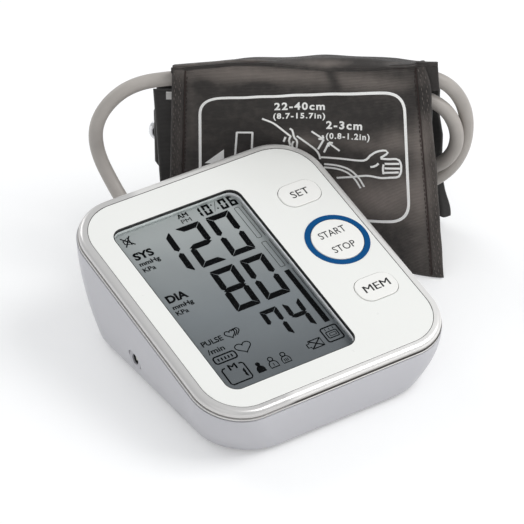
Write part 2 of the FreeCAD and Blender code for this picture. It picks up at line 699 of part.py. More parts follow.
def board():
    """The circuit board with its switches, pressure sensor and beeper, and the screws that hold it."""
    plate = body("Board")
    outline = panelSketch(plate, "BoardOutline", "boardWide", "boardLong", "boardCorner",
                          x="boardX", z=boardTop)
    pad(plate, outline, "boardThick", reversedWay=True)
    for i, (x, y) in enumerate(boardSpots):
        hole = circleSketch(plate, f"BoardHole{i}", "boardScrewRadius + fitGap", x=x, y=y, z=boardTop)
        pocket(plate, hole, "boardThick + 1")
    node(plate, "main_board", "panel")
    screws = []
    for i, (x, y) in enumerate(boardSpots):
        low = f"{boardTop} - boardThick"
        shank = rod(f"BoardShank{i}", "boardScrewRadius", "boardThick + boardScrewBite", x, y, low)
        head = rod(f"BoardHead{i}", "screwHeadRadius", "screwHeadHigh", x, y, f"{low} - screwHeadHigh")
        slot = block(f"BoardDrive{i}", "2 * screwHeadRadius", "screwSlot", "screwSlot", x, y,
                     f"{low} - screwHeadHigh")
        screws.append(cut(f"BoardScrew{i}", fuse(f"BoardScrewBlank{i}", shank, head), slot))
    node(group("BoardScrews", *screws), "board_screws", "panel")
    rows = (("Set", "set", "keyY + keyPitch"), ("Start", "start_stop", "keyY"),
            ("Memory", "memory", "keyY - keyPitch"))
    for name, word, y in rows:
        case = block(name + "SwitchCase", "switchSize", "switchSize", "switchHigh", "keyX", y, boardTop)
        hollow = rod(name + "SwitchBore", "plungerRadius + shaftGap", "switchHigh", "keyX", y,
                     f"{plungerTop} - plungerProud - plungerDeep - keyTravel - moveGap")
        node(cut(name + "Switch", case, hollow), word + "_switch", "panel")
        plunger = rod(name + "Plunger", "plungerRadius", "plungerProud + plungerDeep", "keyX", y,
                      f"{plungerTop} - plungerProud - plungerDeep")
        node(group(name + "Push", plunger), word + "_plunger", "panel")
    low = f"({boardTop} - boardThick)"
    chip = block("SensorCase", "sensorSize", "sensorSize", "sensorHigh", "sensorX", "sensorY",
                 f"{low} - sensorHigh")
    port = rod("SensorPort", "portRadius", "sensorPort", "sensorX", "sensorY",
               f"{low} - sensorHigh - sensorPort")
    node(fuse("Sensor", chip, port), "pressure_sensor", "panel")
    disc = rod("BeeperCase", "beeperRadius", "beeperHigh", "beeperX", "beeperY", f"{low} - beeperHigh")
    hole = rod("BeeperHole", "beeperHole", "beeperHigh", "beeperX", "beeperY",
               f"{low} - 1.5 * beeperHigh")
    node(cut("Beeper", disc, hole), "beeper", "panel")


def caseScrews():
    screws = []
    for i, (x, y, top) in enumerate(postSpots):
        seat = "(footHigh + caseHeadSink)"
        shank = rod(f"CaseShank{i}", "caseScrewRadius", f"{top} + caseScrewBite - {seat}", x, y, seat)
        head = rod(f"CaseHead{i}", "caseHeadRadius", "screwHeadHigh", x, y, f"{seat} - screwHeadHigh")
        slot = block(f"CaseDrive{i}", "2 * caseHeadRadius", "screwSlot", "screwSlot", x, y,
                     f"{seat} - screwHeadHigh")
        screws.append(cut(f"CaseScrew{i}", fuse(f"CaseScrewBlank{i}", shank, head), slot))
    node(group("CaseScrews", *screws), "case_screws")


def feet():
    pads = [rod(f"Foot{i}", "footRadius", "footHigh + footSink", x, y) for i, (x, y) in enumerate(footSpots)]
    node(group("Feet", *pads), "feet")


def batteryBay():
    """Four cells lying side by side with alternate ends forward, their contacts, and the hinged door."""
    front, rear = f"(bayY - {bayLong} / 2)", f"(bayY + {bayLong} / 2)"
    high = f"({floorTop} + cellRadius)"
    batteries, plates, springs = [], [], []
    for i in range(4):
        x = f"({i} - 1.5) * {cellPitch}"
        if i % 2 == 0:
            canY = f"{front} + contactThick + fitGap + nubLong"
            nubY, springY = f"{canY} - nubLong", f"{canY} + cellLong - nubLong + fitGap"
            radii = ("springNarrow", "springWide")
        else:
            canY = f"{rear} - contactThick - fitGap - cellLong"
            nubY, springY = f"{canY} + cellLong - 2 * nubLong", f"{front} + contactThick"
            radii = ("springWide", "springNarrow")
        can = rod(f"Can{i}", "cellRadius", "cellLong - nubLong", x, canY, high, "y")
        nub = rod(f"Nub{i}", "nubRadius", "2 * nubLong", x, nubY, high, "y")
        batteries.append(fuse(f"Cell{i}", can, nub))
        for end, y in (("Front", f"{front} + contactThick / 2"), ("Rear", f"{rear} - contactThick / 2")):
            plates.append(block(f"Contact{end}{i}", "2 * cellRadius - 2 * contactSide", "contactThick",
                                "contactHigh", x, y, f"{high} - contactHigh / 2"))
        coil = doc.addObject("Part::Cone", f"Coil{i}")
        bind(coil, {"Radius1": radii[0], "Radius2": radii[1]})
        bind(coil, {"Height": "springRoom - 2 * contactThick - 2 * fitGap"})
        put(coil, x, springY, high, *turned["y"])
        eye = rod(f"CoilEye{i}", "springBore", "2 * springRoom", x, f"{springY} - contactThick", high, "y")
        springs.append(cut(f"Spring{i}", coil, eye))
    node(group("Cells", *batteries), "batteries")
    node(group("ContactPlates", *plates), "contact_plates")
    node(group("ContactSprings", *springs), "contact_springs")
    long = f"({rear} - moveGap - {doorAxisY})"
    wide = f"({bayWide} - 2 * moveGap)"
    low = f"{doorAxisHigh} - doorThick / 2"
    panel = block("DoorPanel", wide, long, "doorThick", y=f"{doorAxisY} + {long} / 2", z=low)
    nose = rod("DoorNose", "doorThick / 2", wide, f"-{wide} / 2", doorAxisY, doorAxisHigh, "x")
    pins = rod("DoorPins", "doorPinRadius", f"{wide} + 2 * doorPinLong", f"-{wide} / 2 - doorPinLong",
               doorAxisY, doorAxisHigh, "x")
    grip = block("DoorGrip", "gripLong", "gripWide", "gripDeep", y=f"{rear} - moveGap - gripWide", z=low)
    node(cut("BatteryDoor", fuse("DoorBlank", panel, nose, pins), grip), "battery_door")


def pump():
    """The motor, its shaft with an offset crank, the diaphragm head, and the rubber sleeves they lie in."""
    can = rod("MotorCan", "motorRadius", "motorLong", "pumpX - motorLong", "pumpY", pumpHigh, "x")
    bearing = rod("MotorBearing", "shaftRadius + shaftGap", "shaftSeat + 1", "pumpX - shaftSeat", "pumpY",
                  pumpHigh, "x")
    node(cut("Motor", can, bearing), "pump_motor")
    shaft = rod("ShaftRod", "shaftRadius", "shaftSeat + shaftOut - fitGap", "pumpX - shaftSeat + fitGap",
                "pumpY", pumpHigh, "x")
    crank = rod("ShaftCrank", "crankRadius", "crankLong", "pumpX + shaftOut - crankLong", "pumpY",
                f"{pumpHigh} + crankOff", "x")
    node(fuse("Shaft", shaft, crank), "pump_shaft")
    shell = rod("HeadShell", "motorRadius", "headLong", "pumpX", "pumpY", pumpHigh, "x")
    hollow = rod("HeadHollow", "motorRadius - headWall", "headLong - headEnd", "pumpX", "pumpY",
                 pumpHigh, "x")
    port = rod("HeadPort", "portRadius", "portLong + 1", "pumpX + headLong - 1", "pumpY", pumpHigh, "x")
    drill = rod("HeadDrill", "portBore", "portLong + headEnd + 2", "pumpX + headLong - headEnd - 1", "pumpY",
                pumpHigh, "x")
    node(cut("Head", fuse("HeadBlank", cut("HeadCup", shell, hollow), port), drill), "pump_head")
    disc = rod("Diaphragm", "motorRadius - headWall - fitGap", "diaphragmThick",
               "pumpX + headLong - headEnd - fitGap - diaphragmThick", "pumpY", pumpHigh, "x")
    node(group("DiaphragmDisc", disc), "pump_diaphragm")
    sleeves = []
    for i, x in enumerate(saddleSpots):
        x = f"{x} - sleeveLong / 2"
        outer = rod(f"SleeveOuter{i}", "motorRadius + sleeveThick", "sleeveLong", x, "pumpY", pumpHigh, "x")
        inner = rod(f"SleeveInner{i}", "motorRadius", "sleeveLong + 2", f"{x} - 1", "pumpY", pumpHigh, "x")
        sleeves.append(cut(f"Sleeve{i}", outer, inner))
    node(group("Sleeves", *sleeves), "pump_sleeves")


def routed(points, radius, bore=0.0, share=0.45):
    """A round tube along straight runs joined by tangent arcs; returns it with its length and arc radii."""
    edges, radii, last = [], [], points[0]
    for a, b, c in zip(points, points[1:], points[2:]):
        u, w = (b - a).normalize(), (c - b).normalize()
        half = u.getAngle(w) / 2
        reach = share * min((b - a).Length, (c - b).Length)
        radii.append(reach / math.tan(half))
        start, end = b - u * reach, b + w * reach
        inward = (w - u).normalize()
        middle = b + inward * (radii[-1] / math.cos(half) - radii[-1])
        edges += [Part.LineSegment(last, start).toShape(), Part.Arc(start, middle, end).toShape()]
        last = end
    edges.append(Part.LineSegment(last, points[-1]).toShape())
    spine = Part.Wire(edges)
    first = (points[1] - points[0]).normalize()

    def sweep(r):
        ring = Part.Wire([Part.Circle(points[0], first, r).toShape()])
        return spine.makePipeShell([ring], True, False)

    tube = sweep(radius)
    if bore:
        tube = tube.cut(sweep(bore))
    return tube, spine.Length, radii


def airLine():
    """The manifold between the pump, the sensor, the release valve, the bleed valve and the air socket."""
    slope = math.radians(size("panelSlope"))
    across, up = V(0, math.cos(slope), math.sin(slope)), V(0, -math.sin(slope), math.cos(slope))
    x, floor, bore = size("sensorX"), size(floorTop), size("portBore")
    depth = size(f"{boardTop} - boardThick - sensorHigh - sensorPort")
    tip = V(x, 0, size("panelHeight")) + across * size("sensorY") + up * depth
    knee = tip - up * size("portLong")
    wide, long, top = size("manifoldWide"), size("manifoldLong"), floor + size("manifoldHigh")
    front = knee.y - size("linePortOff")
    manifold = Part.makeBox(wide, long, size("manifoldHigh"), V(x - wide / 2, front, floor))
    solidNode(manifold, "air_manifold", "unit")
    pumpEnd = V(size("pumpX + headLong + portLong"), size("pumpY"), size(pumpHigh))
    outlet = V(x, front + long - size("linePortOff"), top)
    socketInner = size(f"{rearFace('socketHigh')} + socketSeat - socketLong")
    socketEnd = V(size("socketX"), socketInner, size("socketHigh"))
    bends = [V(*(size(bend + way) for way in ("X", "Y", "High"))) for bend in ("tubeBend", "tubeCross")]
    lines = {"pump_tube": [pumpEnd, V(x, pumpEnd.y, pumpEnd.z), V(x, front, pumpEnd.z)],
             "sensor_tube": [V(x, knee.y, top), knee, tip],
             "socket_tube": [outlet, outlet + V(0, 0, size("tubeRise")), *bends,
                             socketEnd - V(0, size("tubeLead"), 0), socketEnd]}
    for name, points in lines.items():
        tube, _, _ = routed(points, size("tubeRadius"), bore)
        solidNode(tube, name, "unit")
    valveWide, valveLong, valveFront = size("valveWide"), size("valveLong"), front + long
    case = Part.makeBox(valveWide, valveLong, size("valveHigh"), V(x - valveWide / 2, valveFront, floor))
    mouth = V(x, valveFront + valveLong, floor + size("valveHigh / 2"))
    inside = size("valvePinLong - valvePinOut")
    well = Part.makeCylinder(size("valvePinRadius + shaftGap"), inside + size("valveTravel + moveGap"),
                             mouth, V(0, -1, 0))
    solidNode(case.cut(well), "release_valve", "unit")
    pin = Part.makeCylinder(size("valvePinRadius"), size("valvePinLong"), mouth - V(0, inside, 0), V(0, 1, 0))
    cap = Part.makeCylinder(size("valveCapRadius"), size("valveCapLong"),
                            mouth + V(0, size("valvePinOut - valveCapLong"), 0), V(0, 1, 0))
    solidNode(pin.fuse(cap).removeSplitter(), "release_valve_pin", "unit")
    side = V(x + wide / 2, front + long / 2, floor + size("bleedRadius + 1"))
    bleed = Part.makeCylinder(size("bleedRadius"), size("bleedLong"), side, V(1, 0, 0))
    vent = Part.makeCylinder(bore, size("bleedLong"), side + V(size("bleedLong / 2"), 0, 0), V(1, 0, 0))
    solidNode(bleed.cut(vent), "bleed_valve", "unit")


def sockets():
    """The air socket in the rear wall and the mains adapter socket in the left one."""
    face = f"({rearFace('socketHigh')} + socketSeat)"
    spot = {"x": "socketX", "z": "socketHigh"}
    flange = rod("SocketFlange", "socketFlange", "socketFlangeThick", y=face, along="y", **spot)
    barrel = rod("SocketBarrel", "socketBarrel", "socketLong", y=f"{face} - socketLong", along="y", **spot)
    drill = rod("SocketDrill", "socketBore", "2 * socketLong", y=f"{face} + 2 - socketLong", along="y", **spot)
    vent = rod("SocketVent", "portBore", "2 * socketLong", y=f"{face} - socketLong - 1", along="y", **spot)
    node(cut("AirSocket", fuse("SocketBlank", flange, barrel), drill, vent), "air_socket")
    edge = f"({leftFace('jackHigh', 'jackY')} + jackRecess)"
    spot = {"y": "jackY", "z": "jackHigh"}
    tube = rod("JackTube", "jackRadius", "jackLong", x=edge, along="x", **spot)
    back = block("JackBack", "jackLong - jackNeck", "jackBlock", "jackBlock",
                 f"{edge} + (jackLong + jackNeck) / 2", "jackY", "jackHigh - jackBlock / 2")
    hole = rod("JackBore", "jackHole", "jackDeep + 1", x=f"{edge} - 1", along="x", **spot)
    node(cut("Jack", fuse("JackBlank", tube, back), hole), "adapter_socket")
    pin = rod("JackPin", "jackPin", "jackDeep - jackPin", x=f"{edge} + jackPin", along="x", **spot)
    node(group("JackPost", pin), "adapter_pin")


def airPlug():
    """The plug on the hose: its nozzle runs in the air socket, its collar stands off the flange, and its
    tail is turned a little upwards. Returns the tail's end and direction, where the hose begins."""
    face = size(f"{rearFace('socketHigh')} + socketSeat + socketFlangeThick + layerGap")
    steps = ((size("nozzleRadius"), -size("nozzleLong"), 0), (size("plugCollar"), 0, size("plugCollarLong")),
             (size("plugBody"), size("plugCollarLong"), size("plugLong")))
    middle = V(size("socketX"), face, size("socketHigh"))
    outline = [V(0, steps[0][1], 0)]
    for radius, y0, y1 in steps:
        outline += [V(radius, y0, 0), V(radius, y1, 0)]
    outline.append(V(0, steps[-1][2], 0))
    profile = Part.makePolygon([middle + p for p in [*outline, outline[0]]])
    turn = math.radians(size("plugTailTurn"))
    way = V(0, math.cos(turn), math.sin(turn))
    root = middle + V(0, size("plugLong - plugTailLong / 2"), 0)
    tail = Part.makeCylinder(size("plugTail"), size("plugTailLong"), root, way)
    plug = Part.Face(profile).revolve(middle, V(0, 1, 0), 360).fuse(tail)
    solidNode(plug.removeSplitter(), "air_plug", "unit")
    return root + way * size("plugTailLong"), way


# ---------------------------------------------------------------- folded cuff
def cuffToUnit(x, y, z):
    """The unit-frame place of a point of the cuff frame."""
    turn, away = math.radians(size("cuffTurn")), size(cuffAway)
    along, out = V(math.cos(turn), -math.sin(turn), 0), V(math.sin(turn), math.cos(turn), 0)
    return out * (away + y) + along * x + V(0, 0, z)


def strip(outlines):
    """A closed solid through matching outlines, one after the other along the cuff."""
    wires = [Part.makePolygon([V(*p) for p in [*outline, outline[0]]]) for outline in outlines]
    return Part.makeLoft(wires, True, True)


def cuffBox(x0, x1, y0, y1, z0, z1):
    return Part.makeBox(x1 - x0, y1 - y0, z1 - z0, V(x0, y0, z0))


def creaseHigh(x):
    """The height of the crease from which the front flap hangs."""
    share = (x - size("flapLeft")) / size("flapTopRight - flapLeft")
    return size("flapLeftHigh") + size("flapRightHigh - flapLeftHigh") * share


def frontFlap(fabric):
    """The flap hangs from its crease; towards its right end its free edge swings out and a little over."""
    outlines = []
    for share in (0, 0.25, 0.45, 0.6, 0.75, 0.88, 1):
        top = size("flapLeft") + share * size("flapTopRight - flapLeft")
        low = size("flapLeft") + share * size("flapRight - flapLeft")
        swing = max(0.0, (low - size("flapSwingFrom")) / size("flapRight - flapSwingFrom"))
        out = size("flapSwing") * swing ** size("flapSwingPower")
        high = creaseHigh(top)
        outlines.append([(low, -out, 0), (low, fabric - out, 0), (top, fabric, high), (top, 0, high)])
    solidNode(strip(outlines), "cuff_front_flap", "cuff")


def topFold(fabric, back):
    """The fold leads from the crease over a ridge, which is highest in the middle, down to the back panel."""
    ridge, outlines, panel = size("ridgeDepth"), [], []
    for share in (0, 0.12, 0.3, 0.5, 0.7, 0.88, 1):
        x = size("flapLeft") + share * size("flapTopRight - flapLeft")
        high = creaseHigh(x)
        crown = size("ridgeCrown") * (1 - abs(2 * share - 1) ** 3)
        top = high - size("ridgeDrop") + crown
        low = high - size("foldDrop") + crown
        outlines.append([(x, fabric, high), (x, fabric, high - size("creaseDeep")), (x, ridge, top - fabric),
                         (x, back, low), (x, back + fabric, low), (x, back + fabric, low + fabric),
                         (x, ridge, top)])
        panel.append([(x, back, 0), (x, back + fabric, 0), (x, back + fabric, low), (x, back, low)])
    solidNode(strip(outlines), "cuff_top_fold", "cuff")
    solidNode(strip(panel), "cuff_back_panel", "cuff")


def bar(y):
    """The metal ring of round wire that the cuff's strap runs through."""
    wire, c = size("barWire"), size("barCorner")
    x0, x1, z0, z1 = size("barLeft"), size("barRight"), size("barLow"), size("barHigh")
    near = c * (1 - math.sqrt(0.5))
    turns = [[(x1 - c, z0), (x1 - near, z0 + near), (x1, z0 + c)],
             [(x1, z1 - c), (x1 - near, z1 - near), (x1 - c, z1)],
             [(x0 + c, z1), (x0 + near, z1 - near), (x0, z1 - c)],
             [(x0, z0 + c), (x0 + near, z0 + near), (x0 + c, z0)]]
    turns = [[V(x, y, z) for x, z in turn] for turn in turns]
    edges = []
    for before, turn in zip(turns[-1:] + turns[:-1], turns):
        edges += [Part.LineSegment(before[2], turn[0]).toShape(), Part.Arc(*turn).toShape()]
    ring = Part.Wire([Part.Circle(turns[3][2], V(1, 0, 0), wire).toShape()])
    solidNode(Part.Wire(edges).makePipeShell([ring], True, False), "cuff_bar", "cuff")


def cuff():
    """The cuff folded flat: a front flap that hangs from the top fold, the bladder pack behind it with its
    fabric layers, the metal bar the strap runs through, and the back panel."""
    fabric, gap, thick, patch = size("fabricThick"), size("layerGap"), size("layerThick"), size("patchThick")
    left, right, high, inset = size("packLeft"), size("packRight"), size("packHigh"), size("bladderInset")
    front = size("packFront")
    bladder = front + thick + gap
    outer = bladder + size("bladderThick") + gap
    rear = outer + thick
    barY = rear + gap + size("barWire")
    back = barY + size("barWire") + gap
    frontFlap(fabric)
    topFold(fabric, back)
    bar(barY)
    solidNode(cuffBox(left, right, front, front + thick, 0, high), "cuff_inner_layer", "cuff")
    solidNode(cuffBox(left + inset, right - inset, bladder, outer - gap, inset, high - inset),
              "cuff_bladder", "cuff")
    outerLayer = cuffBox(left, size("outerRight"), outer, rear, 0, high)
    tail = cuffBox(size("outerRight"), size("tailRight"), outer, rear, size("tailLow"), size("tailHigh"))
    solidNode(outerLayer.fuse(tail).removeSplitter(), "cuff_outer_layer", "cuff")
    edge = size("patchInset")
    patchHigh = size("barLow - barWire - layerGap")
    solidNode(cuffBox(left + edge, right - edge, rear, rear + patch, size("patchLow"), patchHigh),
              "hook_patch", "cuff")
    flapLeft, flapRight = size("flapLeft"), size("flapTopRight")
    solidNode(cuffBox(flapLeft + edge, flapRight - edge, back + fabric, back + fabric + patch,
                   size("patchLow"), high - edge), "loop_patch", "cuff")
    tagTop = high - size("tagDrop")
    tagLeft = flapLeft - size("tagProud")
    solidNode(cuffBox(tagLeft, tagLeft + size("tagWide"), front - patch, front, tagTop - size("tagHigh"), tagTop),
              "size_tag", "cuff")
    spot, way = elbow()
    spout = Part.makeCylinder(size("elbowRadius"), size("elbowLong"), spot, way)
    neck = Part.makeCylinder(size("elbowRadius"), front - spot.y, spot, V(0, 1, 0))
    flange = Part.makeCylinder(size("elbowBase"), size("elbowBaseThick"),
                               V(spot.x, front - size("elbowBaseThick"), spot.z), V(0, 1, 0))
    solidNode(spout.fuse([neck, flange]).removeSplitter(), "hose_elbow", "cuff")


def elbow():
    """The middle of the hose elbow on the pack's front, and the way its spout points."""
    turn = math.radians(size("elbowTurn"))
    spot = V(size("elbowX"), size("hoseFrontY"), size("elbowHigh"))
    return spot, V(math.cos(turn), 0, -math.sin(turn))


def hose(start, way):
    """The air hose: out of the plug, up over the cuff's left end, two turns through the fold, to the elbow."""
    spot, spout = elbow()
    lead, end = size("elbowLong + elbowLead"), size("elbowLong")
    rise = [(-17.5, 22.2, 46.5), (-20.5, 30.2, 60), (-22, 30.7, 75), (-18.2, 29, 87), (-8.5, 27.5, 95.5),
            (4, 26.2, 98.2)]
    arch = [start, start + way * size("plugLead"), *(V(x, start.y + y, z) for x, y, z in rise)]
    turns = [(-52, 6.8, 98.5), (-36, 7.2, 100.2), (-14, 7.5, 101.8), (9, 7.5, 103.1), (32, 7.5, 104.1),
             (56, 7.5, 104.6), (77, 7.5, 104), (91, 9, 99), (100, 11.8, 85.5), (103, 13, 69.5),
             (100.5, 12.3, 54), (93, 9.5, 43), (80, 7.4, 36), (60, 7.4, 33.8), (38, 7.5, 33.4),
             (16, 7.5, 33.6), (-6, 7.5, 34.4), (-25, 7.5, 37), (-37, 7.5, 44), (-44, 7.5, 56),
             (-44, 7.5, 70), (-37, 7.5, 82), (-25, 7.5, 89), (-5, 7.5, 91.6), (18, 7.5, 92.6),
             (41, 7.5, 92.9), (62, 7.5, 92.5), (80, 7, 90.8), (91, 6.2, 84.8), (97, 5.6, 74),
             (97.5, 5.6, 62), (92, 6.2, 52), (82, 7, 46.3), (66, 7.5, 45.6), spot + spout * lead,
             spot + spout * end]
    points = arch + [cuffToUnit(*p) for p in turns]
    tube, long, radii = routed(points, size("hoseRadius"))
    solidNode(tube, "air_hose", "unit")
    section = math.pi * size("hoseRadius") ** 2 * long
    print(f"hose length {long:.1f} mm, volume {tube.Volume:.0f} of {section:.0f} mm3")
    print("hose radii", " ".join(f"{r:.0f}" for r in radii))
    print("hose exit", points[0] - V(size("middleX"), size("middleY"), 0))


lowerCase()
topCase()
frontPanel()
keys()
display()
board()
caseScrews()
feet()
batteryBay()
pump()
airLine()
sockets()
hoseStart, hoseWay = airPlug()
cuff()
hose(hoseStart, hoseWay)
doc.recompute()



def check():
    """Stop if any object failed, or if a sub-part isn't a valid solid."""
    for thing in doc.Objects:
        bad = [state for state in thing.State if state in ("Invalid", "Error")]
        if bad:
            raise RuntimeError(f"{thing.Name} ({thing.Label}): {bad}")
    for label, thing in nodes.items():
        if thing.Shape.isNull() or not thing.Shape.isValid() or not thing.Shape.Solids:
            raise RuntimeError(f"{label} is not a valid solid")


check()

# the origin lies under the middle of everything but the hose
whole = FreeCAD.BoundBox()
for label, thing in nodes.items():
    if label not in cordNodes:
        whole.add(thing.Shape.optimalBoundingBox())
sheet.set(cells["middleX"], f"{whole.Center.x:.3f}")
sheet.set(cells["middleY"], f"{whole.Center.y:.3f}")
doc.recompute()
check()
print(f"middle {whole.Center.x:.3f} {whole.Center.y:.3f}, size {whole.XLength:.1f} "
      f"{whole.YLength:.1f} {whole.ZLength:.1f}, low {whole.ZMin:.3f}")

os.makedirs("parts", exist_ok=True)
for label, thing in nodes.items():
    thing.Shape.exportStep(f"parts/{label}.step")
print(len(nodes), "nodes written")
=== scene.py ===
import json
import math
import bmesh
import bpy
import numpy as np
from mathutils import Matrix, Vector


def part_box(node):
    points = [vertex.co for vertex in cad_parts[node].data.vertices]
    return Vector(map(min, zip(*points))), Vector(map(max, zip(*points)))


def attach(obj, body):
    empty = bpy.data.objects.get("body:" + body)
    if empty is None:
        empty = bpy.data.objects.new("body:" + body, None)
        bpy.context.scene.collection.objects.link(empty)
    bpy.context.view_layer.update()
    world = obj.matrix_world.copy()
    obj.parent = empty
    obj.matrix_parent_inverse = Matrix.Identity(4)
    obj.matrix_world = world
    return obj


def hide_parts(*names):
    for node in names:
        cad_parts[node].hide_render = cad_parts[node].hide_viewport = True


# Desk blood pressure monitor with its folded arm cuff and air hose.
# Lengths are millimetres, and a piece is turned into metres where its mesh is made. Only the stage and the
# hose are in metres from the start.

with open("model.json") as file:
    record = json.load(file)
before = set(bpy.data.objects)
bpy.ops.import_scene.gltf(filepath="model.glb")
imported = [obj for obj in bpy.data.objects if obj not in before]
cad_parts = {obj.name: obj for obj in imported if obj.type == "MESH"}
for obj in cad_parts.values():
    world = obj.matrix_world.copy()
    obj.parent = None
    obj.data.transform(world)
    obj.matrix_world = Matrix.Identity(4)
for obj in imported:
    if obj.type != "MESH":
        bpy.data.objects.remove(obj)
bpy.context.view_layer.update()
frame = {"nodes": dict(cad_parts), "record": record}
nodes = frame["nodes"]
scene = bpy.context.scene
pi = math.pi

place = {"middleX": 37.299, "middleY": 31.088, "panelSlope": 14.2, "panelHigh": 49.5,
         "cuffTurn": 36.0, "cuffAway": 94.0}


def cosSin(degrees):
    return math.cos(math.radians(degrees)), math.sin(math.radians(degrees))


def unitPlace(points):  # from the unit's own frame, in mm, to the frame of the whole object, in metres
    return (np.asarray(points, float) - [place["middleX"], place["middleY"], 0]) / 1000


def panelPlace(points):  # right, up the slope and out of the panel, about the panel's middle
    u, w, n = np.moveaxis(np.asarray(points, float), -1, 0)
    c, s = cosSin(place["panelSlope"])
    return unitPlace(np.stack([u, w * c - n * s, place["panelHigh"] + w * s + n * c], -1))


def cuffPlace(points):  # along the cuff, away from the unit, up
    x, y, z = np.moveaxis(np.asarray(points, float), -1, 0)
    c, s = cosSin(place["cuffTurn"])
    away = place["cuffAway"] + y
    return unitPlace(np.stack([x * c + away * s, away * c - x * s, z], -1))


def gridFaces(rows, columns, joinRows=False, joinColumns=False):  # one quad between each four neighbours
    index = np.arange(rows * columns).reshape(rows, columns)
    index = np.vstack([index, index[:1]]) if joinRows else index
    index = np.hstack([index, index[:, :1]]) if joinColumns else index
    quads = [index[:-1, :-1], index[1:, :-1], index[1:, 1:], index[:-1, 1:]]
    return np.stack(quads, -1).reshape(-1, 4)


def outward(mesh):  # merges doubles, then turns every face outwards
    work = bmesh.new()
    work.from_mesh(mesh)
    bmesh.ops.remove_doubles(work, verts=work.verts, dist=1e-6)
    bmesh.ops.dissolve_degenerate(work, edges=work.edges, dist=1e-7)
    bmesh.ops.recalc_face_normals(work, faces=work.faces)
    work.to_mesh(mesh)
    work.free()


def addObject(name, data):
    made = bpy.data.objects.new(name, data)
    scene.collection.objects.link(made)
    return made


def makePiece(name, points, faces, body, material, smooth=True, chart=None, glow=None):
    mesh = bpy.data.meshes.new(name)
    mesh.from_pydata(np.asarray(points).reshape(-1, 3).tolist(), [], [list(map(int, f)) for f in faces])
    if chart is not None:  # the piece's own map, in millimetres over a hundred
        corner = np.empty(len(mesh.loops), int)
        mesh.loops.foreach_get("vertex_index", corner)
        layer = mesh.uv_layers.new(name="chart")
        layer.data.foreach_set("uv", (np.asarray(chart).reshape(-1, 2)[corner] / 100).ravel())
    if glow is not None:
        layer = mesh.attributes.new("glow", "FLOAT", "POINT")
        layer.data.foreach_set("value", np.asarray(glow, float).ravel())
    outward(mesh)
    mesh.shade_smooth() if smooth else mesh.shade_flat()
    piece = addObject(name, mesh)
    mesh.materials.append(material)
    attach(piece, body)
    return piece


def stack(parts):  # several (points, faces) as one
    points, faces, start = [], [], 0
    for some, those in parts:
        some = np.asarray(some, float).reshape(-1, 3)
        points.append(some)
        faces += [[int(i) + start for i in face] for face in those]
        start += len(some)
    return np.vstack(points), faces


def spline(points, many):  # a Catmull-Rom curve through the points, evenly spaced in its parameter
    p = np.asarray(points, float)
    p = np.vstack([2 * p[0] - p[1], p, 2 * p[-1] - p[-2]])
    t = np.linspace(0, len(p) - 3, many)
    i = np.minimum(t.astype(int), len(p) - 4)
    f = (t - i)[:, None]
    a, b, c, d = p[i], p[i + 1], p[i + 2], p[i + 3]
    return 0.5 * (2 * b + (c - a) * f + (2 * a - 5 * b + 4 * c - d) * f ** 2 + (3 * b - a - 3 * c + d) * f ** 3)


def unit(steps):  # the same vectors, each one long
    return steps / (np.linalg.norm(steps, axis=-1)[..., None] + 1e-12)


def inkStroke(points, wide, thick, closed=False):  # a flat bar of ink carried along a line, square in section
    p = np.asarray(points, float)
    if closed:
        ahead, behind = np.roll(p, -1, 0), np.roll(p, 1, 0)
    else:
        ahead, behind = np.vstack([p[1:], p[-1:]]), np.vstack([p[:1], p[:-1]])
    along = unit(ahead - behind)
    side = np.stack([-along[:, 1], along[:, 0]], -1) * wide / 2
    low, high = np.zeros((len(p), 1)), np.full((len(p), 1), thick)
    ring = [np.hstack([p + side, low]), np.hstack([p - side, low]),
            np.hstack([p - side, high]), np.hstack([p + side, high])]
    faces = [list(f) for f in gridFaces(len(p), 4, closed, True)]
    if not closed:
        last = 4 * (len(p) - 1)
        faces += [[0, 1, 2, 3], [last + 3, last + 2, last + 1, last]]
    return np.stack(ring, 1), faces


def inkPatch(outline, thick):  # a flat filled outline with a small height
    p = np.asarray(outline, float)
    n = len(p)
    points = np.vstack([np.hstack([p, np.zeros((n, 1))]), np.hstack([p, np.full((n, 1), thick)])])
    sides = [[i, (i + 1) % n, n + (i + 1) % n, n + i] for i in range(n)]
    return points, [list(range(n))[::-1], list(range(n, 2 * n))] + sides


def roundedBox(x, y, wide, high, corner, steps=6):  # outline of a rounded oblong about its middle
    turn = np.linspace(0, pi / 2, steps)
    arc = np.stack([np.cos(turn), np.sin(turn)], -1) * corner
    parts = []
    for k, (sx, sy) in enumerate(((1, 1), (-1, 1), (-1, -1), (1, -1))):
        c, s = math.cos(k * pi / 2), math.sin(k * pi / 2)
        spun = arc @ np.array([[c, s], [-s, c]])
        parts.append(spun + [x + sx * (wide / 2 - corner), y + sy * (high / 2 - corner)])
    return np.vstack(parts)


def circle(x, y, radius, many):
    turn = np.linspace(0, 2 * pi, many, endpoint=False)
    return np.stack([x + radius * np.cos(turn), y + radius * np.sin(turn)], -1)


def lettering(words, x, y, wide, high, thick, weight, spaced=1.0):  # text scaled to fill a box about x, y
    curve = bpy.data.curves.new("words", "FONT")
    curve.body, curve.extrude, curve.offset, curve.resolution_u = words, 0.5, weight, 3
    curve.space_character = spaced
    text = bpy.data.objects.new("words", curve)
    mesh = bpy.data.meshes.new_from_object(text)
    p = np.empty(3 * len(mesh.vertices))
    mesh.vertices.foreach_get("co", p)
    p = p.reshape(-1, 3)
    low, size = p.min(0), np.ptp(p, 0)
    p = (p - low) / size * [wide, high, thick] + [x - wide / 2, y - high / 2, 0]
    faces = [list(f.vertices) for f in mesh.polygons]
    bpy.data.objects.remove(text)
    bpy.data.curves.remove(curve)
    bpy.data.meshes.remove(mesh)
    return p, faces


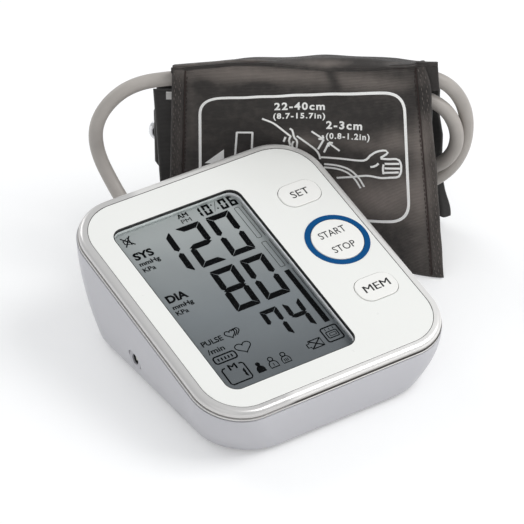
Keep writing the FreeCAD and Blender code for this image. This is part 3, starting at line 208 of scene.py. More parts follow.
def layOn(surface, name, parts, lift, body, material, smooth=False):
    # the parts, which lie in a plane, stacked as one piece and carried over to a surface, this far above it
    points, faces = stack(parts)
    points[:, 2] += lift
    return makePiece(name, surface(points), faces, body, material, smooth)


def tint(red, green, blue):  # a colour as a screen shows it, 0 to 255, made linear
    c = np.array([red, green, blue]) / 255
    return (*np.where(c < 0.04045, c / 12.92, ((c + 0.055) / 1.055) ** 2.4), 1.0)


def shade(colour, factor, lift=0.0):  # a colour made lighter or darker
    return tuple(min(1, c * factor + lift) for c in colour[:3]) + (1,)


class Finish:  # a material and short ways to add nodes to it
    def __init__(self, name, colour, roughness, scale=(1000, 1000, 1000), chart=False, **sockets):
        self.material = bpy.data.materials.new(name)
        self.material.use_nodes = True
        self.tree = self.material.node_tree
        self.shader = self.tree.nodes["Principled BSDF"]
        self.material.diffuse_color = colour
        sockets.update(Base_Color=colour, Roughness=roughness)
        for key, value in sockets.items():
            self.put(value, self.shader.inputs[key.replace("_", " ")])
        source = self.add("TexCoord").outputs["UV" if chart else "Object"]
        self.spot = self.add("Mapping", source, Scale=scale).outputs["Vector"]  # millimetres on the piece

    def add(self, kind, first=None, settings=(), **values):  # a node, what goes into it first, and its values
        made = self.tree.nodes.new("ShaderNode" + kind)
        for key, value in dict(settings).items():
            setattr(made, key, value)
        for key, value in values.items():
            self.put(value, made.inputs[key.replace("_", " ")])
        if first is not None:
            self.put(first, made.inputs["Vector"] if "Vector" in made.inputs else made.inputs[0])
        return made

    def put(self, value, socket):  # a number, a colour or another node's output
        if isinstance(value, (int, float, tuple)):
            socket.default_value = value
        else:
            self.tree.links.new(value, socket)

    def noise(self, scale, detail=2.0, rough=0.5, out="Fac"):
        return self.add("TexNoise", self.spot, Scale=scale, Detail=detail, Roughness=rough).outputs[out]

    def wave(self, spot, direction, scale):  # soft bands across one direction
        kind = {"wave_type": "BANDS", "bands_direction": direction, "wave_profile": "SIN"}
        return self.add("TexWave", spot, kind, Scale=scale).outputs["Fac"]

    def ramp(self, value, *stops):  # stops are (place, colour)
        made = self.add("ValToRGB", value)
        marks = made.color_ramp.elements
        for k, (at, colour) in enumerate(stops):
            mark = marks[k] if k < 2 else marks.new(at)
            mark.position, mark.color = at, colour
        return made.outputs["Color"]

    def axis(self, name):  # how far along an axis a point lies, in millimetres
        return self.add("SeparateXYZ", self.spot).outputs[name]

    def overPanel(self):  # how far a point lies above the panel's face, in millimetres
        c, s = cosSin(place["panelSlope"])
        lean = self.add("VectorMath", self.spot, {"operation": "DOT_PRODUCT"})
        lean.inputs[1].default_value = (0, -s, c)
        return self.math("ADD", lean.outputs["Value"], -place["middleY"] * s - place["panelHigh"] * c)

    def math(self, kind, *values):
        made = self.add("Math", None, {"operation": kind})
        for socket, value in zip(made.inputs, values):
            self.put(value, socket)
        return made.outputs[0]

    def total(self, start, *terms):  # the start plus each term's value times its number
        for value, by in terms:
            start = self.math("MULTIPLY_ADD", value, by, start)
        return start

    def mix(self, share, a, b, blend="MIX"):
        kind = {"data_type": "RGBA", "blend_type": blend}
        return self.add("Mix", None, kind, Factor=share, A=a, B=b).outputs["Result"]

    def spread(self, value, low, high):  # a 0-1 value to a range
        return self.add("MapRange", None, (), Value=value, To_Min=low, To_Max=high).outputs[0]

    def colour(self, value):
        self.put(value, self.shader.inputs["Base Color"])

    def roughness(self, value):
        self.put(value, self.shader.inputs["Roughness"])

    def bump(self, height, deep, **after):  # deep in metres
        made = self.add("Bump", None, (), Strength=1.0, Distance=deep, Height=height, **after)
        self.put(made.outputs["Normal"], self.shader.inputs["Normal"])
        return made.outputs["Normal"]

    def uneven(self, shades=None, gloss=None, grain=None):
        # colour, gloss and bump from a noise each: shades is (scale, detail, low stop, high stop),
        # gloss (scale, detail, least, most) and grain (scale, detail, depth)
        if shades:
            self.colour(self.ramp(self.noise(*shades[:2]), *shades[2:]))
        if gloss:
            self.roughness(self.spread(self.noise(*gloss[:2]), *gloss[2:]))
        if grain:
            self.bump(self.noise(*grain[:2]), grain[2])
        return self.material


def mouldedPlastic(name, colour, rough, grain=0.25, deep=0.00002, mottle=0.03, **sockets):
    # fine mould grain, faint mottling, and handling marks that vary the gloss
    light, dark = shade(colour, 1 + mottle), shade(colour, 1 - mottle)
    return Finish(name, colour, rough, **sockets).uneven(
        (0.03, 3, (0.3, dark), (0.7, light)), (0.2, 4, rough - 0.06, rough + 0.06), (1 / grain, 2, deep))


def softRubber(name, colour, rough=0.55, deep=0.00003):
    # dull rubber with a fine bloom that lightens it in patches
    return Finish(name, colour, rough).uneven(
        (0.08, 4, (0.35, colour), (0.75, shade(colour, 1.12, 0.008))), (0.08, 4, rough - 0.05, rough + 0.1),
        (2.5, 3, deep))


def platedMetal(name, colour, rough, brushed=(1000, 1000, 1000)):
    # metal with drawn or brushed marks along one axis and slightly uneven polish
    return Finish(name, colour, rough, brushed, Metallic=1.0).uneven(
        (3, 3, (0.3, shade(colour, 0.86)), (0.6, colour)), (3, 3, rough - 0.04, rough + 0.1), (3, 3, 0.00001))


def printInk(name, colour, rough=0.5):
    # pad-printed ink: even colour, slightly thin at random spots
    return Finish(name, colour, rough).uneven(
        (0.9, 3, (0.45, colour), (0.75, shade(colour, 1.1, 0.01))), (0.6, 2, rough - 0.05, rough + 0.08),
        (4, 2, 0.00001))


def ribbedCloth(name, colour, bright, rib=0.8, deep=0.00018, chart=True, glow=False):
    # close-woven nylon: fine ribs across, warp threads down, and broad soft patches: painted sheen where the
    # piece's attribute places it, otherwise tone that varies at random
    weave = {"ribs": 0.314 / rib, "warp": 0.314 / 0.45, "drift": 0.5, "depth": 0.7}
    made = Finish(name, colour, 0.62, (100,) * 3 if chart else (1000,) * 3, chart,
                  Sheen_Weight=0.12, Sheen_Roughness=0.4)
    drift = made.noise(0.15, 1, out="Color")
    slight = made.add("VectorMath", drift, {"operation": "SCALE"}, Scale=weave["drift"])
    warped = made.add("VectorMath", made.spot, {"operation": "ADD"})
    made.put(slight.outputs[0], warped.inputs[1])
    ribs = made.wave(warped.outputs[0], "Y" if chart else "Z", weave["ribs"])
    warp = made.wave(warped.outputs[0], "X", weave["warp"])
    if glow:  # painted sheen from the piece's own attribute, where the cloth is painted brighter
        sheenAttribute = made.add("Attribute", None, {"attribute_name": "glow"})
        # painted sheen: the attribute, with a little noise, lifts the colour towards the bright one
        broad = made.total(0.0, (sheenAttribute.outputs["Fac"], 0.8), (made.noise(0.22, 3, 0.6), 0.3))
        tone = made.ramp(broad, (0.16, colour), (0.95, bright))
    else:
        broad = made.noise(0.03 if chart else 0.1, 2, 0.45)
        tone = made.ramp(broad, (0.36, colour), (0.66, bright))
    ribShade = made.ramp(ribs, (0.0, (0.62, 0.62, 0.62, 1)), (0.7, (1, 1, 1, 1)))
    made.colour(made.mix(weave["depth"], tone, ribShade, "MULTIPLY"))
    made.roughness(made.spread(broad, 0.7, 0.5))
    made.bump(ribs, deep, Normal=made.bump(warp, deep * 0.3))
    return made.material


def pileCloth(name, colour, scale, deep):
    # short stiff hooks or a brushed loop pile, as clumps of fine dots
    made = Finish(name, colour, 0.9, Sheen_Weight=0.4)
    cells = made.add("TexVoronoi", made.spot, Scale=scale)
    fuzz = made.noise(3, 4, 0.7)
    made.colour(made.ramp(fuzz, (0.3, colour), (0.8, shade(colour, 1.8, 0.01))))
    made.bump(made.math("SUBTRACT", fuzz, cells.outputs["Distance"]), deep)
    return made.material


def displayGlass(name):
    # grey display with a painted reflection: lighter towards its top edge and slightly to the right, with a
    # very fine etched grain
    paintedReflection = {"middle": 0.8, "across": 0.0012, "up": 0.0085, "mottle": 0.14}
    made = Finish(name, tint(140, 146, 148), 0.32)
    # painted reflection: a slope up the display and across it, with a little noise
    rise = made.total(paintedReflection["middle"], (made.axis("X"), paintedReflection["across"]), (made.axis("Y"), paintedReflection["up"]),
                      (made.noise(0.03, 2), paintedReflection["mottle"]))
    made.colour(made.ramp(rise, (0.15, tint(96, 101, 104)), (0.45, tint(119, 125, 128)),
                          (0.7, tint(139, 144, 145)), (0.98, tint(173, 178, 177))))
    return made.uneven(grain=(6, 2, 0.000006))


def clearLens(name):
    # clear plastic with the faintest waves and smears
    made = Finish(name, tint(40, 42, 44), 0.06, Alpha=0.02, IOR=1.3, Specular_IOR_Level=0.06)
    return made.uneven(None, (0.1, 3, 0.04, 0.1), (0.05, 1, 0.000004))


def boardGreen(name):
    # solder mask with copper tracks showing through as a slightly lighter maze
    made = Finish(name, tint(22, 88, 52), 0.4)
    tracks = made.add("TexBrick", made.spot, {"offset": 0.37, "squash": 1.6}, Scale=0.11, Mortar_Size=0.06,
                      Color1=tint(20, 84, 50), Color2=tint(26, 96, 58), Mortar=tint(60, 128, 74))
    made.colour(tracks.outputs["Color"])
    made.bump(tracks.outputs["Fac"], 0.00003)
    return made.uneven(None, (0.4, 2, 0.32, 0.46))


def cellJacket(name):
    # the cells' plain dark blue sleeve, half metallic, a little uneven
    made = Finish(name, tint(40, 62, 92), 0.3, Metallic=0.6)
    return made.uneven((0.15, 3, (0.3, tint(34, 54, 82)), (0.7, tint(48, 72, 104))), (0.15, 3, 0.24, 0.36),
                       (1.2, 2, 0.00001))


def displayInk(name):
    # liquid-crystal black with a faint bluish cast and an even gloss
    made = Finish(name, tint(6, 7, 9), 0.5, Specular_IOR_Level=0.05)
    return made.uneven((0.06, 2, (0.3, tint(4, 5, 6)), (0.7, tint(9, 10, 12))), (0.5, 2, 0.45, 0.55),
                       (6, 2, 0.000004))


def rimSilverWithPaintedShade(name):
    # lacquered silver bead, with painted shade: bright on top and painted duller towards its lower edge, with
    # painted shade in the two seams under it as two dark lines. Along the left side, which falls in shade, an
    # even grey is painted over all of it.
    # heights over the panel's face
    rim = {"bead": -3.2, "lip": -3.96, "lipEnd": -4.84, "top": -1.4, "span": 6.0}
    pale = {"from": -64.0, "over": 6.0}
    at = lambda high: 1 + high / rim["span"]
    made = Finish(name, tint(214, 212, 210), 0.3, Metallic=0.55, Coat_Weight=0.15, Coat_Roughness=0.3)
    # dull is painted shade on the bead's lower edge, dark the painted shade in the two seams
    silver, dull, dark = tint(244, 242, 239), tint(156, 153, 150), tint(122, 119, 116)
    high = made.total(0.985, (made.overPanel(), 1 / rim["span"]), (made.noise(0.15, 3), 0.03))
    bead = made.ramp(high, (at(rim["lipEnd"]) - 0.02, dark), (at(rim["lipEnd"]) + 0.01, silver),
                     (at(rim["lip"]) - 0.015, silver), (at(rim["lip"]) + 0.005, dark),
                     (at(rim["bead"]) - 0.01, dark), (at(rim["bead"]) + 0.03, dull), (at(rim["top"]), silver))
    # painted shade on the left side: an even grey in place of the bead's shades
    left = made.total(pale["from"] / pale["over"], (made.axis("X"), -1 / pale["over"]))
    made.colour(made.mix(left, bead, tint(212, 210, 208)))
    return made.uneven(None, (0.1, 3, 0.26, 0.34), (0.8, 2, 0.000004))


def socketWithPaintedShade(name):
    # the casing's silver on the socket's face, with painted shade: black from just inside its bore
    made = Finish(name, tint(190, 189, 193), 0.42)
    face = 1000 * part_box("adapter_socket")[0][0]
    deep = made.total(-0.1 * face, (made.axis("X"), 0.1))
    # painted shade in the bore: black from about a millimetre inside the face
    made.colour(made.ramp(deep, (0.07, tint(190, 189, 193)), (0.1, tint(24, 24, 25))))
    return made.uneven(None, (0.3, 2, 0.38, 0.48), (3, 2, 0.00001))


def wallWithPaintedLight(name):
    # the window's wall, with painted light: paler towards its right side, which falls in shadow
    made = Finish(name, tint(176, 182, 182), 0.4)
    # painted light: the wall's colour grows paler to the right
    side = made.total(2.1, (made.axis("X"), 0.08), (made.noise(0.1, 2), 0.1))
    made.colour(made.ramp(side, (0.1, tint(232, 238, 236)), (0.75, tint(252, 253, 254))))
    return made.uneven(None, (0.3, 2, 0.36, 0.46), (3, 2, 0.00001))


plastic, rubber, metal = mouldedPlastic, softRubber, platedMetal
finishes = {  # each slot's kind of surface, its colour and the rest of what the kind asks for
    "casing_silver": (plastic, (204, 203, 207), 0.38, 0.3, 0.00002, 0.012),
    "panel_white": (plastic, (240, 240, 236), 0.3, 0.5, 0.000008, 0.006, {"Coat_Weight": 0.15}),
    "key_white": (plastic, (243, 242, 238), 0.34, 0.5, 0.000008, 0.006, {"Coat_Weight": 0.1}),
    "ring_blue": (plastic, (0, 76, 131), 0.4, 0.5, 0.000008, 0.03, {"Specular_IOR_Level": 0.12}),
    "lens_clear": (clearLens,),
    "display_grey": (displayGlass,),
    "inner_plastic": (plastic, (96, 94, 92), 0.5, 0.4, 0.00002, 0.05),
    "contact_rubber": (rubber, (58, 58, 60), 0.6),
    "board_green": (boardGreen,),
    "switch_black": (plastic, (38, 38, 40), 0.45, 0.3, 0.00002, 0.08),
    "screw_steel": (metal, (196, 196, 194), 0.3),
    "foot_rubber": (rubber, (74, 73, 72), 0.7),
    "cell_jacket": (cellJacket,),
    "contact_metal": (metal, (214, 212, 204), 0.2),
    "motor_steel": (metal, (188, 188, 190), 0.26, (60, 1000, 1000)),
    "tube_rubber": (rubber, (206, 203, 196), 0.4),
    "plug_grey": (plastic, (150, 147, 143), 0.5, 0.3, 0.00003, 0.05),
    "hose_grey": (rubber, (170, 164, 158), 0.42, 0.00002),
    # the cuff's cloth, lifted towards its second colour by each piece's painted sheen
    "cuff_fabric": (ribbedCloth, (49, 44, 41), tint(138, 128, 121), {"glow": True}),
    "bladder_rubber": (rubber, (60, 58, 58), 0.6, 0.00008),
    "bar_chrome": (metal, (226, 226, 228), 0.12),
    "hook_black": (pileCloth, (36, 35, 36), 1.2, 0.0005),
    "loop_black": (pileCloth, (48, 46, 46), 0.8, 0.0006),
    "tag_white": (ribbedCloth, (240, 238, 234), tint(253, 252, 249), 0.5, 0.00006, False),
}
for slot, (kind, *given) in finishes.items():
    first, *others = slot.split("_")
    extra = given.pop() if given and isinstance(given[-1], dict) else {}
    colour = [tint(*given.pop(0))] if given else []
    finishes[slot] = kind(first + "".join(map(str.title, others)), *colour, *given, **extra)

for part in frame["record"]["subparts"]:
    carried = nodes[part["node"]]
    carried.data.materials.clear()
    carried.data.materials.append(finishes[part["material_slot"]])
# the rim and the socket take finishes with painted shade in place of their slots' own
for node, finish in (("top_case", rimSilverWithPaintedShade("rimSilver")), ("adapter_socket", socketWithPaintedShade("socketGrey"))):
    nodes[node].data.materials[0] = finish
print("finishes: every carried piece has one")


def stageAndCamera():
    # a long lens on a white floor that glows a little where it is seen, under soft light and three
    # square lamps
    view = {"spot": (-0.7238, -1.0730, 0.9388), "along": (0.4496, 0.6813, -0.5776), "lens": 212.4,
            "sensor": 36}
    camera = addObject("camera", bpy.data.cameras.new("camera"))
    camera.location = view["spot"]
    camera.rotation_euler = Vector(view["along"]).to_track_quat("-Z", "Y").to_euler()
    camera.data.lens, camera.data.sensor_width = view["lens"], view["sensor"]
    camera.data.clip_start, camera.data.clip_end = 0.05, 50
    scene.camera = camera

    floor = {"half": 6.0, "white": 0.8, "lift": 0.24}
    mesh = bpy.data.meshes.new("floor")
    h = floor["half"]
    mesh.from_pydata([(-h, -h, 0), (h, -h, 0), (h, h, 0), (-h, h, 0)], [], [(0, 1, 2, 3)])
    ground = addObject("floor", mesh)
    cover = Finish("floorWhite", (floor["white"],) * 3 + (1,), 0.9, Specular_IOR_Level=0.1,
                   Emission_Color=(1, 1, 1, 1))
    rays = cover.add("LightPath")
    seen = cover.math("MAXIMUM", rays.outputs["Is Camera Ray"], rays.outputs["Is Glossy Ray"])
    seen = cover.math("MAXIMUM", seen, rays.outputs["Is Transmission Ray"])
    cover.put(cover.math("MULTIPLY", seen, floor["lift"]), cover.shader.inputs["Emission Strength"])
    mesh.materials.append(cover.material)

    # a soft cool light all round, seen by the camera as plain white
    studio = {"colour": (0.96, 0.98, 1.0, 1), "strength": 0.62, "seen": 1.0}
    world = bpy.data.worlds.new("studio")
    scene.world = world
    world.use_nodes = True
    tree = world.node_tree
    soft = tree.nodes["Background"]
    rays, choose, white = (tree.nodes.new("ShaderNode" + kind)
                           for kind in ("LightPath", "MixShader", "Background"))
    soft.inputs["Color"].default_value = studio["colour"]
    soft.inputs["Strength"].default_value = studio["strength"]
    white.inputs["Strength"].default_value = studio["seen"]
    for k, source in enumerate((rays.outputs["Is Camera Ray"], soft.outputs[0], white.outputs[0])):
        tree.links.new(source, choose.inputs[k])
    tree.links.new(choose.outputs[0], tree.nodes["World Output"].inputs["Surface"])

    lamps = [("key", (0.75, -0.55, 1.15), 0.9, 9.5), ("fill", (-1.0, -0.9, 0.9), 1.2, 1.6),
             ("back", (-0.3, 1.2, 0.9), 0.8, 4.0)]
    aim = Vector((0, 0, 0.03))
    for name, spot, wide, power in lamps:
        lamp = addObject(name, bpy.data.lights.new(name, "AREA"))
        lamp.data.size, lamp.data.energy = wide, power
        lamp.location = spot
        lamp.rotation_euler = (aim - Vector(spot)).to_track_quat("-Z", "Y").to_euler()
    scene.view_settings.view_transform = "Standard"
    print("stage: camera, floor and lamps")


def airHose():
    # a smooth curve with a round section, from the plug over the unit's rear, twice round behind the cuff's
    # flap and into the cuff's elbow, in metres
    hose = {"radius": 0.00375, "length": 0.7163, "route": [
        (-0.0538, 0.0598, 0.0361), (-0.0538, 0.0706, 0.0382), (-0.0548, 0.0819, 0.0465),
        (-0.0578, 0.0899, 0.0600), (-0.0593, 0.0904, 0.0750), (-0.0555, 0.0887, 0.0870),
        (-0.0458, 0.0872, 0.0955), (-0.0333, 0.0859, 0.0982), (-0.0201, 0.0810, 0.0985),
        (-0.0069, 0.0720, 0.1002), (0.0110, 0.0593, 0.1018), (0.0296, 0.0457, 0.1031),
        (0.0482, 0.0322, 0.1041), (0.0677, 0.0181, 0.1046), (0.0847, 0.0058, 0.1040),
        (0.0969, -0.0012, 0.0990), (0.1058, -0.0043, 0.0855), (0.1089, -0.0051, 0.0695),
        (0.1065, -0.0042, 0.0540), (0.0988, -0.0020, 0.0430), (0.0870, 0.0039, 0.0360),
        (0.0708, 0.0157, 0.0338), (0.0531, 0.0287, 0.0334), (0.0353, 0.0416, 0.0336),
        (0.0175, 0.0546, 0.0344), (0.0021, 0.0657, 0.0370), (-0.0076, 0.0728, 0.0440),
        (-0.0132, 0.0769, 0.0560), (-0.0132, 0.0769, 0.0700), (-0.0076, 0.0728, 0.0820),
        (0.0021, 0.0657, 0.0890), (0.0183, 0.0540, 0.0916), (0.0369, 0.0405, 0.0926),
        (0.0555, 0.0269, 0.0929), (0.0725, 0.0146, 0.0925), (0.0868, 0.0036, 0.0908),
        (0.0952, -0.0035, 0.0848), (0.0997, -0.0075, 0.0740), (0.1001, -0.0078, 0.0620),
        (0.0960, -0.0041, 0.0520), (0.0884, 0.0024, 0.0463), (0.0758, 0.0122, 0.0456),
        (0.0610, 0.0230, 0.0471), (0.0465, 0.0335, 0.0496)]}
    route = hose["route"]
    curve = bpy.data.curves.new("airHose", "CURVE")
    curve.dimensions, curve.bevel_depth, curve.bevel_resolution = "3D", hose["radius"], 8
    curve.resolution_u, curve.use_fill_caps = 8, True
    line = curve.splines.new("NURBS")
    line.points.add(len(route) - 1)
    line.points.foreach_set("co", np.hstack([route, np.ones((len(route), 1))]).ravel())
    line.order_u, line.use_endpoint_u = 3, True
    curve.materials.append(finishes["hose_grey"])
    piece = addObject("airHose", curve)
    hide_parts("air_hose")
    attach(piece, "cuff")
    print("air hose: laid")


stageAndCamera()
airHose()

# The cuff's own frame: x along it, y away from the unit, z up from the table.
cuffSizes = {"leftTop": -49.2, "leftLow": -53.0, "rightTop": 82.1, "rightLow": 92.8, "topLeft": -50.5,
             "topRight": 86.0, "high": 111.0, "swing": 26.5, "swingFrom": 15.0, "cloth": 1.9, "ridgeY": 8.0,
             "foldDrop": 16.0, "backY": 30.0}
# x and z of the crease over the flap, and of the fold's ridge behind it
creaseLine = spline([
    (-50.5, 108.6), (-38, 110.2), (-28, 111.4), (-18, 112.8), (-9, 113.3), (2, 112.9), (10, 112.2),
    (19, 111.6), (28, 111.1), (36, 111.1), (50, 111.5), (64, 112.6), (73, 113.4), (79, 115.0),
    (86, 115.6)], 400)
ridgeLine = spline([
    (-50.5, 103.2), (-44, 104.3), (-35, 106.0), (-28, 107.6), (-18, 109.2), (-9, 110.3), (4, 111.3),
    (18, 112.2), (28, 112.9), (42, 113.1), (52, 112.9), (64, 111.9), (74, 111.0), (86, 111.0)], 400)


def hump(x, middle, half, power=2):  # a bell: 1 at the middle, falling off over its half width
    return np.exp(-((x - middle) / half) ** power)


def share(x, start, end):  # 0 before the start, 1 past the end, straight between them
    return np.clip((x - start) / (end - start), 0, 1)


def rolled(near, radius, least=0.0):  # quarter-round edge: thickness at a distance from the edge, as a share
    return np.sqrt(np.clip(1 - np.clip(1 - near / radius, 0, 1) ** 2, least, 1))


def around(front, back=None):  # two matching grids side by side, the second one run backwards
    return np.concatenate([front, (front if back is None else back)[:, ::-1]], 1)


def creaseHigh(x):  # height of the crease: it rises, dips past its middle and rises again
    return np.interp(x, creaseLine[:, 0], creaseLine[:, 1])


def flapEdges(z):  # the flap's two side edges at a height; the right one is drawn in below the crease
    k, t = cuffSizes, share(z, 0, cuffSizes["high"])
    right = k["rightLow"] + (k["rightTop"] - k["rightLow"]) * t
    waist = 2.9 * hump(z, 117, 9) + 0.75 * hump(z, 82, 11) + 0.1 * np.sin(z * 0.3)
    return k["leftLow"] + (k["leftTop"] - k["leftLow"]) * t, right - waist


def flapFace(x, z, lift=0.0):
    # front of the hanging flap at x along it and z up from the table. Its free side swings forward along an
    # S-curve, a soft swell and shallow puckers run below the crease, and the top rolls back into the crease.
    k = cuffSizes
    high = creaseHigh(x)
    left, right = flapEdges(z)
    low = k["leftLow"] + (x - left) / (right - left) * (k["rightLow"] - k["leftLow"])
    rise = np.clip(z / high, 0, 1)
    far = share(low, k["swingFrom"], k["rightLow"])
    swing = k["swing"] * far ** 2 * (3 - 2 * far) * (1 - rise)
    swell = 1.6 * hump(z, 93, 9) * hump(x, 8, 60, 4)
    pucker = 0.5 * np.sin(x * 0.11 + 0.9) * np.sin(rise * pi) ** 2 + 0.3 * np.sin(z * 0.09 + x * 0.03)
    gather = (0.7 * np.sin(x * 0.31 + 1.2 * np.sin(x * 0.05)) * np.clip(rise - 0.72, 0, 1) * 3
              * (1 - rise ** 12))
    tuck = np.clip(1 - (high - z) / 4.0, 0, 1) ** 2 * 2.2
    out = 0.8 - swing - swell - (pucker * 0.7 + gather) * (1 - rise ** 8) + tuck
    return np.stack([x, out - lift, z], -1)


def clothSheet(name, front, back, chart, glow, material):
    # two matching grids, front and back, closed round their edges; chart and painted sheen hold for both
    ring = around(front, back)
    rows, columns = ring.shape[:2]
    faces = [list(f) for f in gridFaces(rows, columns, False, True)]
    index = np.arange(rows * columns).reshape(rows, columns)
    for row in (0, rows - 1):
        ends = [[index[row, j], index[row, j + 1], index[row, columns - 2 - j], index[row, columns - 1 - j]]
                for j in range(front.shape[1] - 1)]
        faces += [e if row == 0 else e[::-1] for e in ends]
    return makePiece(name, cuffPlace(ring), faces, "cuff", material, True, around(chart),
                     around(glow))


def flapPaintedSheen(x, z):
    # painted sheen on the cloth: soft round patches, each (x, z, half width, half height, strength; a negative
    # strength paints shade), over a faint waviness, and painted shade where the sheen is taken away along a
    # slanted crease at the top
    patches = [(-20, 106.5, 24, 5.5, 0.7), (12, 106, 22, 4.5, 0.6), (50, 103.5, 24, 5, 0.6),
               (-39, 82, 4, 22, 0.2), (66, 73, 9, 7, 0.65), (47, 68, 14, 4.5, 0.45), (56, 38, 19, 11, 0.95),
               (70, 49, 8, 8, 0.45), (20, 66, 8, 5, 0.45), (79, 73, 5, 13, 0.75), (80, 44, 6, 18, 0.6),
               (83, 12, 9, 12, 0.25), (-46, 60, 4, 30, 0.1), (-4, 98.5, 7, 3.5, -0.5),
               (-34, 99, 5, 4, -0.35), (79, 98, 8, 5, -0.3)]
    glow = 0.03 + 0.04 * np.sin(x * 0.13) * np.sin(z * 0.21)
    for px, pz, wide, high, strong in patches:
        glow = glow + strong * hump(x, px, wide) * hump(z, pz, high)
    # painted shade: less sheen along a slanted crease
    crease = hump(x + 0.35 * (z - 104), 33, 3.0) * hump(z, 105, 6)
    return np.clip(glow - 0.55 * crease, 0, 1)


def cuffFlap():
    # the face above as the front of a sheet of even thickness, its edges rounded; rows are closer near the
    # crease
    k, grid = cuffSizes, {"along": 150, "up": 90, "crowd": 1.15, "topIn": 2.6, "gap": 0.4, "edge": 1.0}
    a, t = np.meshgrid(np.linspace(0, 1, grid["along"]), np.linspace(0, 1, grid["up"]), indexing="ij")
    t = 1 - (1 - t) ** grid["crowd"]
    z = t * (creaseHigh(k["leftTop"] + a * (k["rightTop"] - grid["topIn"] - k["leftTop"])) - grid["gap"])
    left, right = flapEdges(z)
    x = left + a * (right - left)
    front = flapFace(x, z)
    edge = np.minimum(np.minimum(x - left, right - x), z)
    middle = front + [0, k["cloth"] / 2, 0]
    shift = np.zeros_like(front)
    shift[..., 1] = k["cloth"] / 2 * rolled(edge, grid["edge"], 0.04)
    flap = clothSheet("cuffFlap", middle - shift, middle + shift, np.stack([x, z], -1), flapPaintedSheen(x, z),
                      finishes["cuff_fabric"])
    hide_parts("cuff_front_flap")
    print("cuff flap: hung")


def foldLine(s):
    # the sheet's way over the top at a place along the cuff: crease, ridge, shoulder, back panel
    k = cuffSizes
    ridge, back = k["ridgeY"], k["backY"]
    high, top = creaseHigh(s), np.interp(s, ridgeLine[:, 0], ridgeLine[:, 1])
    low = top - k["foldDrop"]
    return spline([(0.9, high - 2.3), (1.3, high - 0.5), (4.5, 0.5 * (high + top) - 0.1), (ridge, top - 0.5),
                   (ridge + 5.5, top - 3.2), (ridge + 13, 0.5 * (top + low) + 1), (back - 1.6, low + 1.0),
                   (back - 0.4, low - 6), (back - 0.6, 0.5 * low), (back - 0.4, 0.2 * low),
                   (back - 0.6, 0.6)], 90)


def cuffTop():
    # the fold line swept along the cuff, moved in and out by two sine waves, as a sheet half the cloth's
    # thickness
    k, rows, columns, chartAt = cuffSizes, 120, 90, 115
    along = np.linspace(k["topLeft"] + 0.6, k["topRight"], rows)
    line = np.array([foldLine(s) for s in along])
    step = np.gradient(line, axis=1)
    side = unit(np.stack([-step[..., 1], step[..., 0]], -1))
    down = np.linspace(0, 1, columns)[None, :]
    wave = 0.35 * np.sin(along * 0.17)[:, None] * np.sin(3 * pi * down)
    wave = wave + 0.12 * np.sin(along * 0.33 + 1.1)[:, None] * np.sin(pi * share(down, 0, 0.25)) ** 2
    thick = k["cloth"] * 0.5
    s = np.repeat(along[:, None], columns, 1)
    mid = line + side * (wave[..., None] - thick)
    front, back = (np.concatenate([s[..., None], mid + by * side], -1) for by in (thick, -thick))
    run = np.cumsum(np.linalg.norm(np.diff(line, axis=1), axis=-1), 1)
    run = np.concatenate([np.zeros((rows, 1)), run], 1)
    # painted sheen: a band along the fold about 34 mm over the crease, and a faint waviness
    glow = 0.02 + 0.25 * hump(run, 34, 10) + 0.1 * np.sin(s * 0.08 + run * 0.05)
    for at, wide in ((30, 10), (67, 8)):  # two patches of painted sheen just over the crease
        glow = glow + 0.5 * hump(s, at, wide) * hump(run, 5, 2.5)
    top = clothSheet("cuffTop", front, back, np.stack([s, chartAt + run], -1), np.clip(glow, 0, 1),
                     finishes["cuff_fabric"])
    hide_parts("cuff_top_fold", "cuff_back_panel")
    print("cuff top: folded over")


def onFlap(points):  # x, z and a height above the cloth, to the frame
    return cuffPlace(flapFace(*points.T))


def evenly(line, pitch, closed=False):
    # points about a pitch apart along a line, by its length; a closed line leaves out its last
    run = np.concatenate([[0], np.cumsum(np.linalg.norm(np.diff(line, axis=0), axis=1))])
    many = int(run[-1] / pitch) if closed else max(2, int(round(run[-1] / pitch)) + 1)
    at = np.linspace(0, run[-1], many, endpoint=not closed)
    return np.stack([np.interp(at, run, line[:, j]) for j in (0, 1)], -1)


def roundedCorners(corners, radius, pitch):  # a closed outline whose corners are parabolas between its sides
    p = np.asarray(corners, float)
    outline = []
    for before, here, after in zip(np.roll(p, 1, 0), p, np.roll(p, -1, 0)):
        into, away = here + unit(before - here) * radius, here + unit(after - here) * radius
        t = np.linspace(0, 1, 12)[:, None]
        outline.append((1 - t) ** 2 * into + 2 * t * (1 - t) * here + t ** 2 * away)
    return evenly(np.vstack(outline + outline[:1])[:12 * len(p) + 1], pitch, True)


def stitchRow(line, long=1.9, wide=0.42, high=0.34):
    # one low grain of thread at each point of a line: a six-sided base under a short ridge, laid along it
    step = unit(np.gradient(line, axis=0))
    side = np.stack([-step[:, 1], step[:, 0]], -1)
    # quarters along, halves across
    corners = [(-2, 0), (-1, 1), (1, 1), (2, 0), (1, -1), (-1, -1), (-1, 0), (1, 0)]
    points = np.stack([line + step * long / 4 * a + side * wide / 2 * b for a, b in corners], 1)
    heights = np.broadcast_to([0.0] * 6 + [high] * 2, points.shape[:2])
    one = np.array([[0, 5, 6], [0, 6, 1], [1, 6, 7], [1, 7, 2], [2, 7, 3], [3, 7, 4], [4, 7, 6], [4, 6, 5],
                    [0, 1, 5], [1, 2, 5], [2, 4, 5], [2, 3, 4]])
    faces = one[None] + len(corners) * np.arange(len(line))[:, None, None]
    return np.concatenate([points, heights[..., None]], -1).reshape(-1, 3), faces.reshape(-1, 3)


